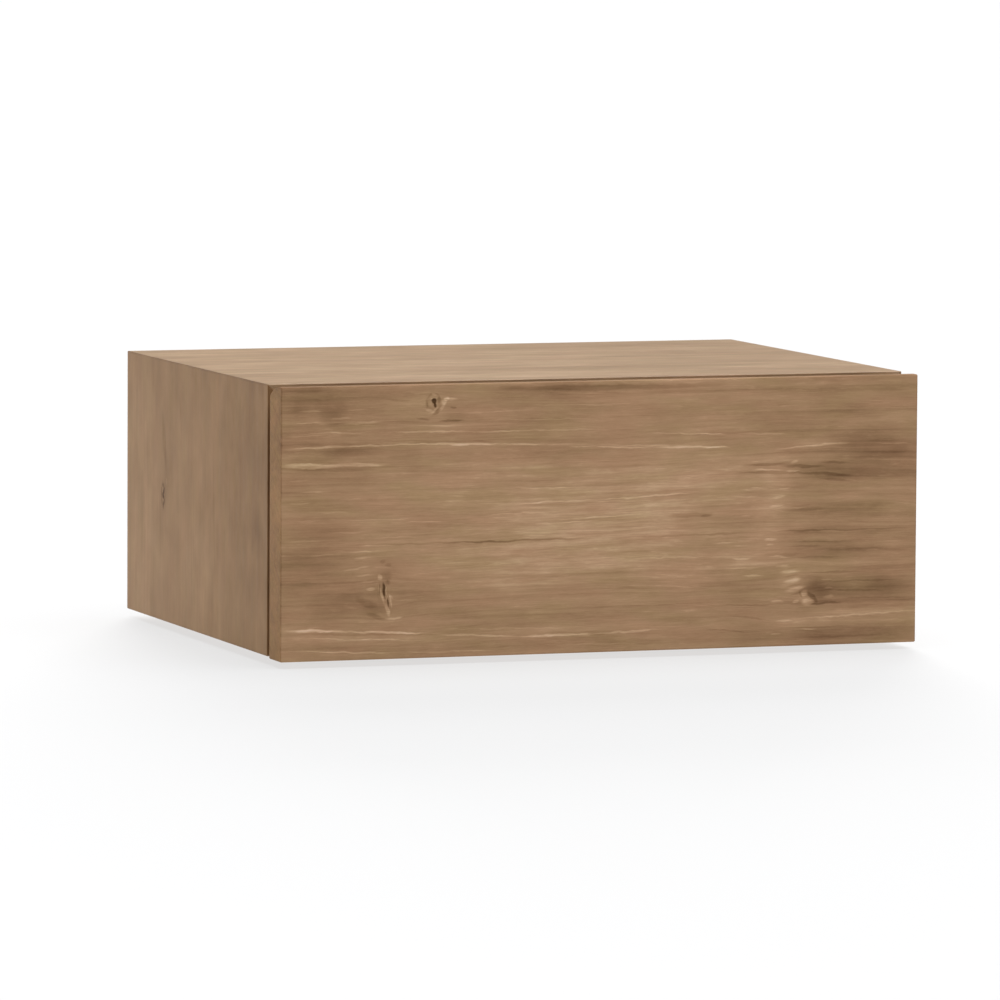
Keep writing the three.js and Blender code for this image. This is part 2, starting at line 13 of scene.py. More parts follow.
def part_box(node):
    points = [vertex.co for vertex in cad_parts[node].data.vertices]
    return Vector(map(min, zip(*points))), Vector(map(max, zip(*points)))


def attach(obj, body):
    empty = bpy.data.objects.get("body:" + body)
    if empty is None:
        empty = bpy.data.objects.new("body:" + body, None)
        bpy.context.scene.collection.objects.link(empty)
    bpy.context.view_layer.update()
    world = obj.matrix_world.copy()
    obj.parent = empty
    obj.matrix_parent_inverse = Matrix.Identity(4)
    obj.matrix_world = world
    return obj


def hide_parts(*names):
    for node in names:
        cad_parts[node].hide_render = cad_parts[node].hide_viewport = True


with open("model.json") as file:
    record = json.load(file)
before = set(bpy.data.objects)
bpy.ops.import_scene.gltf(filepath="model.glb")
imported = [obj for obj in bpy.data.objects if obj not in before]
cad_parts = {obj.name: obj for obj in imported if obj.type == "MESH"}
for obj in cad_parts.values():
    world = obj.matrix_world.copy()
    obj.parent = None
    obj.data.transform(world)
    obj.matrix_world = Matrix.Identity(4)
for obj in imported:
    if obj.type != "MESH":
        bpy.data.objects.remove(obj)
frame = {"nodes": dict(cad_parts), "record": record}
nodes = frame["nodes"]
BODY = {n: b for b, ns in frame["record"]["behaviour"]["bodies"].items() for n in ns}
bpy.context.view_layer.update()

MM = 0.001
SIDES = (("left", -1), ("right", 1))

# ------------------------------------------------------------------ camera
# Focal length in pixels of the square 1000 pixel frame, and where the lens stands.
CAM_F = 8000.0
CAM_YAW, CAM_PITCH, CAM_ROLL = (math.radians(a) for a in (19.4494, 5.1529, 0.3250))
CAM_AT = np.array([-1.62476, -4.72779, 0.43353])
FWD = np.array(
    [
        math.sin(CAM_YAW) * math.cos(CAM_PITCH),
        math.cos(CAM_YAW) * math.cos(CAM_PITCH),
        -math.sin(CAM_PITCH),
    ]
)
_right = np.array([math.cos(CAM_YAW), -math.sin(CAM_YAW), 0.0])
_up = np.cross(_right, FWD)
RIGHT = _right * math.cos(CAM_ROLL) + _up * math.sin(CAM_ROLL)
UP = _up * math.cos(CAM_ROLL) - _right * math.sin(CAM_ROLL)


def ray(u, v):
    d = FWD + RIGHT * (u - 500) / CAM_F - UP * (v - 500) / CAM_F
    return d / np.linalg.norm(d)


def on_plane(u, v, axis, value):
    """Where the line of sight through a pixel meets the plane axis = value, in mm."""
    d = ray(u, v)
    t = (value - CAM_AT[axis]) / d[axis]
    return (CAM_AT + d * t) * 1000


def on_front(u, v):
    p = on_plane(u, v, 1, -0.310)
    return float(p[0]), float(p[2])


def on_left(u, v):
    p = on_plane(u, v, 0, -0.200)
    return float(p[2]), float(p[1])


def on_top(u, v):
    p = on_plane(u, v, 2, 0.080)
    return float(p[0]), float(p[1])


cam_data = bpy.data.cameras.new("camera")
cam = bpy.data.objects.new("camera", cam_data)
bpy.context.scene.collection.objects.link(cam)
cam.matrix_world = Matrix(
    [
        [RIGHT[0], UP[0], -FWD[0], CAM_AT[0]],
        [RIGHT[1], UP[1], -FWD[1], CAM_AT[1]],
        [RIGHT[2], UP[2], -FWD[2], CAM_AT[2]],
        [0, 0, 0, 1],
    ]
)
cam_data.sensor_width = 36
cam_data.lens = 36 * CAM_F / 1000
cam_data.clip_start, cam_data.clip_end = 0.1, 200
bpy.context.scene.camera = cam


# ------------------------------------------------------------------ node helper
class Graph:
    def __init__(self, name):
        self.mat = bpy.data.materials.new(name)
        self.mat.use_nodes = True
        self.t = self.mat.node_tree
        self.t.nodes.clear()
        self.count = 0

    def put(self, socket, v):
        if isinstance(v, bpy.types.NodeSocket):
            self.t.links.new(v, socket)
        elif v is not None:
            socket.default_value = v

    def add(self, kind, **props):
        n = self.t.nodes.new(kind)
        n.location = (200 * (self.count % 40), -260 * (self.count // 40))
        self.count += 1
        for k, v in props.items():
            setattr(n, k, v)
        return n

    def math(self, op, a, b=None, c=None, clamp=False):
        n = self.add("ShaderNodeMath", operation=op, use_clamp=clamp)
        for s, v in zip(n.inputs, (a, b, c)):
            self.put(s, v)
        return n.outputs[0]

    def plus(self, *terms):
        total = terms[0]
        for t in terms[1:]:
            total = self.math("ADD", total, t)
        return total

    def times(self, a, b):
        return self.math("MULTIPLY", a, b)

    def madd(self, a, b, c):
        return self.math("MULTIPLY_ADD", a, b, c)

    def vmath(self, op, a, b=None, scale=None):
        n = self.add("ShaderNodeVectorMath", operation=op)
        self.put(n.inputs[0], a)
        if b is not None:
            self.put(n.inputs[1], b)
        if scale is not None:
            self.put(n.inputs["Scale"], scale)
        return n.outputs[1] if op in ("DOT_PRODUCT", "LENGTH", "DISTANCE") else n.outputs[0]

    def combine(self, x, y, z):
        n = self.add("ShaderNodeCombineXYZ")
        for s, v in zip(n.inputs, (x, y, z)):
            self.put(s, v)
        return n.outputs[0]

    def separate(self, v):
        n = self.add("ShaderNodeSeparateXYZ")
        self.put(n.inputs[0], v)
        return n.outputs[0], n.outputs[1], n.outputs[2]

    def noise(self, vec, scale=1.0, detail=2.0, rough=0.5, distortion=0.0):
        n = self.add("ShaderNodeTexNoise")
        self.put(n.inputs["Vector"], vec)
        n.inputs["Scale"].default_value = scale
        n.inputs["Detail"].default_value = detail
        n.inputs["Roughness"].default_value = rough
        n.inputs["Distortion"].default_value = distortion
        return n.outputs[0]

    def noise1(self, w, scale=1.0, detail=1.0):
        n = self.add("ShaderNodeTexNoise", noise_dimensions="1D")
        self.put(n.inputs["W"], w)
        n.inputs["Scale"].default_value = scale
        n.inputs["Detail"].default_value = detail
        return n.outputs[0]

    def white(self, w):
        n = self.add("ShaderNodeTexWhiteNoise", noise_dimensions="1D")
        self.put(n.inputs["W"], w)
        return n.outputs[0]

    def step(self, v, a, b, lo=0.0, hi=1.0):
        """Smooth step of v from lo at a to hi at b."""
        n = self.add("ShaderNodeMapRange", interpolation_type="SMOOTHSTEP")
        for s, x in zip(n.inputs, (v, a, b, lo, hi)):
            self.put(s, x)
        return n.outputs[0]

    def mix(self, fac, a, b, blend="MIX"):
        n = self.add("ShaderNodeMix", data_type="RGBA", blend_type=blend)
        self.put(n.inputs[0], fac)
        self.put(n.inputs[6], a)
        self.put(n.inputs[7], b)
        return n.outputs[2]

    def ramp(self, fac, stops):
        n = self.add("ShaderNodeValToRGB")
        r = n.color_ramp
        r.interpolation = "LINEAR"
        while len(r.elements) < len(stops):
            r.elements.new(0.5)
        for e, (p, c) in zip(r.elements, stops):
            e.position = p
            e.color = (*c, 1)
        self.put(n.inputs[0], fac)
        return n.outputs[0]

    def mark(self, total, vec, f, sign=1.0):
        """Adds a mark with a flat middle and soft edges to the running total."""
        b = self.math("MINIMUM", self.blob(vec, f["at"], f["size"], f.get("angle", 0.0), False), 0.476)
        return self.madd(b, 2.1 * f["by"] * sign, 0.0 if total is None else total)

    def blob(self, vec, at, size, angle=0.0, soft=True):
        """1 at a point of the board's face, falling to 0 at an ellipse of half axes size."""
        m = self.add("ShaderNodeMapping", vector_type="TEXTURE")
        self.put(m.inputs["Vector"], vec)
        m.inputs["Location"].default_value = (at[0], at[1], 0)
        m.inputs["Rotation"].default_value = (0, 0, angle)
        m.inputs["Scale"].default_value = (size[0], size[1], 1)
        g = self.add("ShaderNodeTexGradient", gradient_type="QUADRATIC_SPHERE" if soft else "SPHERICAL")
        self.put(g.inputs[0], m.outputs[0])
        return g.outputs["Fac"] if "Fac" in g.outputs else g.outputs[1]

    def shader(self, color, rough, metallic=0.0, bump=None, distance=0.0002, strength=0.6, **more):
        b = self.add("ShaderNodeBsdfPrincipled")
        self.put(b.inputs["Base Color"], color)
        self.put(b.inputs["Roughness"], rough)
        self.put(b.inputs["Metallic"], metallic)
        for k, v in more.items():
            self.put(b.inputs[k.replace("_", " ")], v)
        if bump is not None:
            n = self.add("ShaderNodeBump")
            n.inputs["Strength"].default_value = strength
            n.inputs["Distance"].default_value = distance
            self.put(n.inputs["Height"], bump)
            self.put(b.inputs["Normal"], n.outputs[0])
        o = self.add("ShaderNodeOutputMaterial")
        self.put(o.inputs["Surface"], b.outputs[0])
        return self.mat


# ------------------------------------------------------------------ pine
STAIN = [
    (0.00, (0.105, 0.046, 0.018)),
    (0.22, (0.228, 0.125, 0.059)),
    (0.42, (0.356, 0.209, 0.107)),
    (0.60, (0.452, 0.276, 0.149)),
    (0.80, (0.600, 0.392, 0.232)),
    (1.00, (0.750, 0.530, 0.352)),
]
CLEAR = [
    (0.00, (0.250, 0.110, 0.040)),
    (0.22, (0.430, 0.240, 0.105)),
    (0.42, (0.600, 0.390, 0.195)),
    (0.60, (0.700, 0.490, 0.275)),
    (0.80, (0.780, 0.590, 0.365)),
    (1.00, (0.840, 0.680, 0.470)),
]


def pine(
    name,
    grain,
    face,
    thick,
    seed,
    box,
    stops=STAIN,
    centre=(-150.0, 95.0),
    spacing=3.1,
    wave=7.0,
    rings=1.0,
    fibre=1.0,
    blotch=1.0,
    lines=1.0,
    fleck=1.0,
    hues=1.0,
    tone=0.0,
    knots=(),
    light=(),
    dark=(),
    cracks=(),
    stain_and_painted_light_patches=(),
    rough=0.56,
    edge=-0.10,
    band=1.0,
    endtone=-0.01,
    rim=0.0,
    mottle=0.0,
    drift=0.045,
    fade=None,
    end_tint=None,
    tint=None,
    spec=0.3,
):
    """Solid wood. grain, face and thick are the axes (0 x, 1 y, 2 z) along the fibres, across
    the board and through it. centre is the pith's place in the (face, thick) plane from the
    board's own middle, in mm. Features sit at (along, across) in mm."""
    g = Graph(name)
    tc = g.add("ShaderNodeTexCoord")
    p = g.vmath("SCALE", tc.outputs["Object"], scale=1000.0)
    xyz = g.separate(p)
    along, across, deep = xyz[grain], xyz[face], xyz[thick]
    flat = g.combine(along, across, 0.0)
    off = [37.0 * seed + 11.0, 53.0 * seed - 7.0, 71.0 * seed + 3.0]
    lo, hi = box
    mid_a = (lo[face] + hi[face]) * 500
    mid_t = (lo[thick] + hi[thick]) * 500

    # fibres swerve round knots
    a = across
    for k in knots:
        b = g.blob(flat, k["at"], k["swerve"], k.get("angle", 0.0))
        d = g.math("SUBTRACT", across, k["at"][1])
        if k.get("angle"):
            # measured from the knot's leaning axis, and not from its centre
            lean = math.tan(k["angle"])
            d = g.math("SUBTRACT", d, g.times(g.math("SUBTRACT", along, k["at"][0]), lean))
        a = g.math("SUBTRACT", a, g.times(g.times(d, b), k.get("push", 0.6)))
    v0 = g.combine(
        g.math("ADD", along, off[0]), g.math("ADD", across, off[1]), g.math("ADD", deep, off[2])
    )
    w1 = g.noise(g.vmath("MULTIPLY", v0, (0.0032, 0.010, 0.010)), detail=1.0)
    w2 = g.noise(g.vmath("MULTIPLY", v0, (0.013, 0.055, 0.055)), detail=2.0)
    w3 = g.noise(g.vmath("MULTIPLY", v0, (0.06, 0.35, 0.35)), detail=2.0)
    a = g.madd(g.math("SUBTRACT", w1, 0.5), 2.0 * wave, a)
    a = g.madd(g.math("SUBTRACT", w2, 0.5), 2.6, a)
    a = g.madd(g.math("SUBTRACT", w3, 0.5), 0.7, a)

    # nothing drawn on the board is quite straight
    wx = g.noise(g.vmath("SCALE", v0, scale=0.13), detail=2.0)
    wy = g.noise(g.vmath("MULTIPLY", v0, (0.11, 0.24, 0.24)), detail=2.0)
    flat = g.combine(
        g.madd(g.math("SUBTRACT", wx, 0.5), 3.0, along),
        g.madd(g.math("SUBTRACT", w3, 0.5), 1.3, g.madd(g.math("SUBTRACT", wy, 0.5), 2.2, across)),
        0.0,
    )

    # growth rings about the pith
    ra = g.math("SUBTRACT", a, mid_a + centre[0])
    rb = g.math("SUBTRACT", deep, mid_t + centre[1])
    radius = g.math("SQRT", g.plus(g.times(ra, ra), g.times(rb, rb)))
    radius = g.madd(g.noise1(radius, 0.07, 2.0), 9.0, radius)
    count = g.math("DIVIDE", radius, spacing)
    t = g.math("FRACT", count)
    ident = g.math("FLOOR", count)
    r1 = g.white(g.math("ADD", ident, 0.31 + seed))
    r2 = g.white(g.math("ADD", ident, 7.77 + seed))
    late = g.times(g.step(t, 0.35, 0.88), g.step(t, 0.93, 1.0, 1.0, 0.0))
    thin = g.times(g.step(t, 0.70, 0.86), g.step(t, 0.90, 0.98, 1.0, 0.0))

    # streaks along the fibres
    s = g.combine(
        g.math("ADD", along, off[0]), g.math("ADD", a, off[1]), g.math("ADD", deep, off[2])
    )
    s1 = g.noise(g.vmath("MULTIPLY", s, (0.016, 0.30, 0.30)), detail=3.0, rough=0.62)
    s2 = g.noise(g.vmath("MULTIPLY", s, (0.085, 1.15, 1.15)), detail=2.0, rough=0.65)
    s3 = g.noise(g.vmath("MULTIPLY", s, (0.42, 2.3, 2.3)), detail=2.0, rough=0.7)
    s4 = g.noise(g.vmath("MULTIPLY", s, (0.0065, 0.50, 0.50)), detail=1.0, rough=0.4)
    s5 = g.noise(g.vmath("MULTIPLY", s, (0.030, 1.1, 1.1)), detail=1.0)
    s6 = g.noise(g.vmath("MULTIPLY", v0, (0.11, 0.95, 0.95)), detail=1.0)
    brk = g.noise(g.vmath("MULTIPLY", s, (0.028, 0.25, 0.25)), detail=2.0)
    # stain taken up unevenly
    b1 = g.noise(g.vmath("MULTIPLY", v0, (0.0085, 0.022, 0.022)), detail=3.0, rough=0.55)
    b2 = g.noise(g.vmath("MULTIPLY", v0, (0.034, 0.075, 0.075)), detail=3.0, rough=0.62)

    tonev = 0.47 + tone
    total = g.madd(g.math("SUBTRACT", b1, 0.5), 0.34 * blotch, tonev)
    total = g.madd(g.math("SUBTRACT", b2, 0.5), 0.26 * blotch, total)
    total = g.madd(g.math("SUBTRACT", s1, 0.5), 0.30 * fibre, total)
    total = g.madd(g.math("SUBTRACT", s2, 0.5), 0.25 * fibre, total)
    total = g.madd(g.math("SUBTRACT", s3, 0.5), 0.13 * fibre, total)
    # broad bands where the stain went in deeper
    b3 = g.noise(g.vmath("MULTIPLY", v0, (0.013, 0.13, 0.13)), detail=2.0, rough=0.5)
    total = g.madd(g.math("SUBTRACT", b3, 0.5), 0.24 * blotch, total)
    if mottle:
        # wiped on with a cloth: soft clouds without direction
        m1 = g.noise(g.vmath("MULTIPLY", v0, (drift, drift * 1.6, drift * 1.6)), detail=3.0, rough=0.6)
        total = g.madd(g.math("SUBTRACT", m1, 0.5), mottle, total)
    # short pale and dark ticks, thick in some places and missing in others
    crowd = g.step(b2, 0.40, 0.62, 0.25, 1.0)
    tick = g.madd(g.step(s6, 0.60, 0.70), 0.085 * fleck, g.times(g.step(s5, 0.37, 0.28), -0.07 * fleck))
    total = g.madd(tick, crowd, total)
    # late wood: a darker band, and now and then a thin pale line that took no stain
    total = g.madd(g.times(late, g.madd(r1, 0.8, 0.2)), -0.10 * rings, total)
    pale = g.times(g.times(thin, g.step(r2, 0.60, 0.95)), g.step(brk, 0.44, 0.60))
    total = g.madd(pale, 0.17 * lines, total)
    total = g.madd(g.times(g.step(s4, 0.63, 0.70), g.step(brk, 0.35, 0.6)), 0.12 * lines, total)

    # end grain: fine open pores
    normal = g.separate(tc.outputs["Normal"])[grain]
    end = g.step(g.math("ABSOLUTE", normal), 0.75, 0.95)
    pores = g.noise(g.vmath("MULTIPLY", v0, (0.3, 2.2, 2.2)), detail=2.0, rough=0.7)
    endline = g.plus(g.times(late, -0.012), g.times(g.math("SUBTRACT", pores, 0.5), 0.13))
    total = g.madd(end, g.math("ADD", endline, endtone), total)
    if rim:
        # painted shade: the board's edge faces, which sit in the gap behind the drawer front, are darkened
        gap_shade_edges = g.step(g.math("ABSOLUTE", g.separate(tc.outputs["Normal"])[face]), 0.75, 0.95)
        total = g.madd(gap_shade_edges, rim, total)

    # features with a place of their own, broken up by the fibres
    face_on = g.math("SUBTRACT", 1.0, end)
    rag = g.plus(g.times(g.math("SUBTRACT", s2, 0.5), 1.4), g.times(g.math("SUBTRACT", s5, 0.5), 1.0), 1.0)
    # soft patches: drifts of stain, and where a board is given them, painted light and shade too
    acc = None
    for f in stain_and_painted_light_patches:
        b = g.step(g.blob(flat, f["at"], f["size"], f.get("angle", 0.0), False), 0.0, 0.8)
        acc = g.madd(b, f["by"], 0.0 if acc is None else acc)
    if acc is not None:
        streaky = g.plus(g.times(g.math("SUBTRACT", s1, 0.5), 1.0), g.times(g.math("SUBTRACT", s2, 0.5), 0.6), 1.0)
        total = g.madd(g.times(acc, streaky), face_on, total)
    for group, sign in ((light, 0.80), (dark, -0.90)):
        acc = None
        for f in group:
            acc = g.mark(acc, flat, f, sign)
        if acc is not None:
            total = g.madd(g.times(acc, rag), face_on, total)
    hollow = deepest = None
    for k in knots:
        if not k.get("core"):
            continue
        # its own rings, cut across: pale and dark in turn, with a dark bark line round it
        b = g.blob(flat, k["at"], k["core"], k.get("angle", 0.0), soft=False)
        wob = g.plus(g.times(g.math("SUBTRACT", w3, 0.5), 0.5), g.times(g.math("SUBTRACT", b2, 0.5), 0.9), b)
        turn = g.math("SINE", g.times(wob, k.get("turns", 16.0)))
        inside = g.step(b, 0.02, 0.22)
        bark = g.times(g.step(b, 0.0, 0.12), g.step(b, 0.15, 0.34, 1.0, 0.0))
        add = g.plus(g.times(turn, g.times(inside, k.get("ring", 0.07))), g.times(inside, k.get("fill", -0.05)))
        add = g.madd(g.step(b, 0.45, 0.95), k.get("heart", 0.0), add)
        add = g.madd(g.times(bark, g.step(brk, 0.30, 0.55)), k.get("rim", -0.16), add)
        total = g.madd(add, face_on, total)
    for c in cracks:
        b = g.blob(flat, c["at"], c["size"], c.get("angle", 0.0), soft=False)
        b = g.step(b, 0.05, 0.55)
        total = g.madd(g.times(b, face_on), -c["by"], total)
        hollow = g.times(b, c["by"]) if hollow is None else g.madd(b, c["by"], hollow)
        b = g.times(b, g.times(face_on, min(1.0, 2.1 * c["by"])))
        deepest = b if deepest is None else g.math("MAXIMUM", deepest, b)

    # arrises: a darker, smoother band along each edge
    dist = []
    for i in range(3):
        d1 = g.math("SUBTRACT", xyz[i], lo[i] * 1000)
        d2 = g.math("SUBTRACT", hi[i] * 1000, xyz[i])
        dist.append(g.math("MINIMUM", d1, d2))
    big = g.math("MAXIMUM", g.math("MAXIMUM", dist[0], dist[1]), dist[2])
    small = g.math("MINIMUM", g.math("MINIMUM", dist[0], dist[1]), dist[2])
    second = g.math("SUBTRACT", g.math("SUBTRACT", g.plus(*dist), big), small)
    second = g.madd(g.math("SUBTRACT", b2, 0.5), 0.9, second)
    arris = g.step(second, 0.3 * band, 1.3 * band, 1.0, 0.0)
    total = g.madd(arris, edge, total)

    # hue wanders between a pinkish and an olive brown
    hue = g.noise(g.vmath("MULTIPLY", v0, (0.022, 0.085, 0.085)), detail=2.0)
    total = g.math("ADD", total, 0.0, clamp=True)
    colour = g.ramp(total, stops)
    colour = g.mix(g.step(hue, 0.45, 0.68, 0.0, hues), colour, g.mix(1.0, colour, (1.035, 0.985, 1.01, 1), "MULTIPLY"))
    colour = g.mix(g.step(hue, 0.52, 0.30, 0.0, hues), colour, g.mix(1.0, colour, (0.955, 1.0, 0.925, 1), "MULTIPLY"))

    if deepest is not None:
        colour = g.mix(g.times(deepest, 0.80), colour, (0.066, 0.027, 0.005, 1))
    if end_tint:
        colour = g.mix(g.times(end, 1.0), colour, g.mix(1.0, colour, (*end_tint, 1), "MULTIPLY"))
    if fade:
        # cooler in colour towards one edge
        part = g.step(across, fade[0], fade[1], 0.0, 1.0)
        colour = g.mix(part, colour, g.mix(1.0, colour, (*fade[2], 1), "MULTIPLY"))
    if tint:
        colour = g.mix(1.0, colour, (*tint, 1), "MULTIPLY")

    roughness = g.plus(
        g.times(g.math("SUBTRACT", s2, 0.5), 0.16),
        g.times(g.math("SUBTRACT", b2, 0.5), 0.12),
        g.times(late, -0.05),
        g.times(arris, -0.06),
        rough,
    )
    height = g.plus(g.times(s2, 0.45), g.times(s3, 0.25), g.times(late, 0.22), g.times(s1, 0.35))
    height = g.madd(g.times(end, pores), 0.7, height)
    if hollow is not None:
        height = g.madd(hollow, -2.2, height)
    return g.shader(colour, roughness, bump=height, distance=0.00014, strength=0.45, Specular_IOR_Level=spec)


def stroke(u0, v0, u1, v1, width, by, place=on_front, scale=0.57):
    """A mark along the line between two pixels, width in pixels, on the face that place finds."""
    p, q = place(u0, v0), place(u1, v1)
    dx, dy = q[0] - p[0], q[1] - p[1]
    return {
        "at": ((p[0] + q[0]) / 2, (p[1] + q[1]) / 2),
        "size": (max(math.hypot(dx, dy) / 2, 0.5) * 1.12, width * scale),
        "angle": math.atan2(dy, dx),
        "by": by,
    }


def patch(u, v, half_w, half_h, by, angle=0.0):
    """A soft patch about a pixel of the front, half sizes in pixels."""
    return {"at": on_front(u, v), "size": (half_w * 0.635, half_h * 0.567), "angle": angle, "by": by}


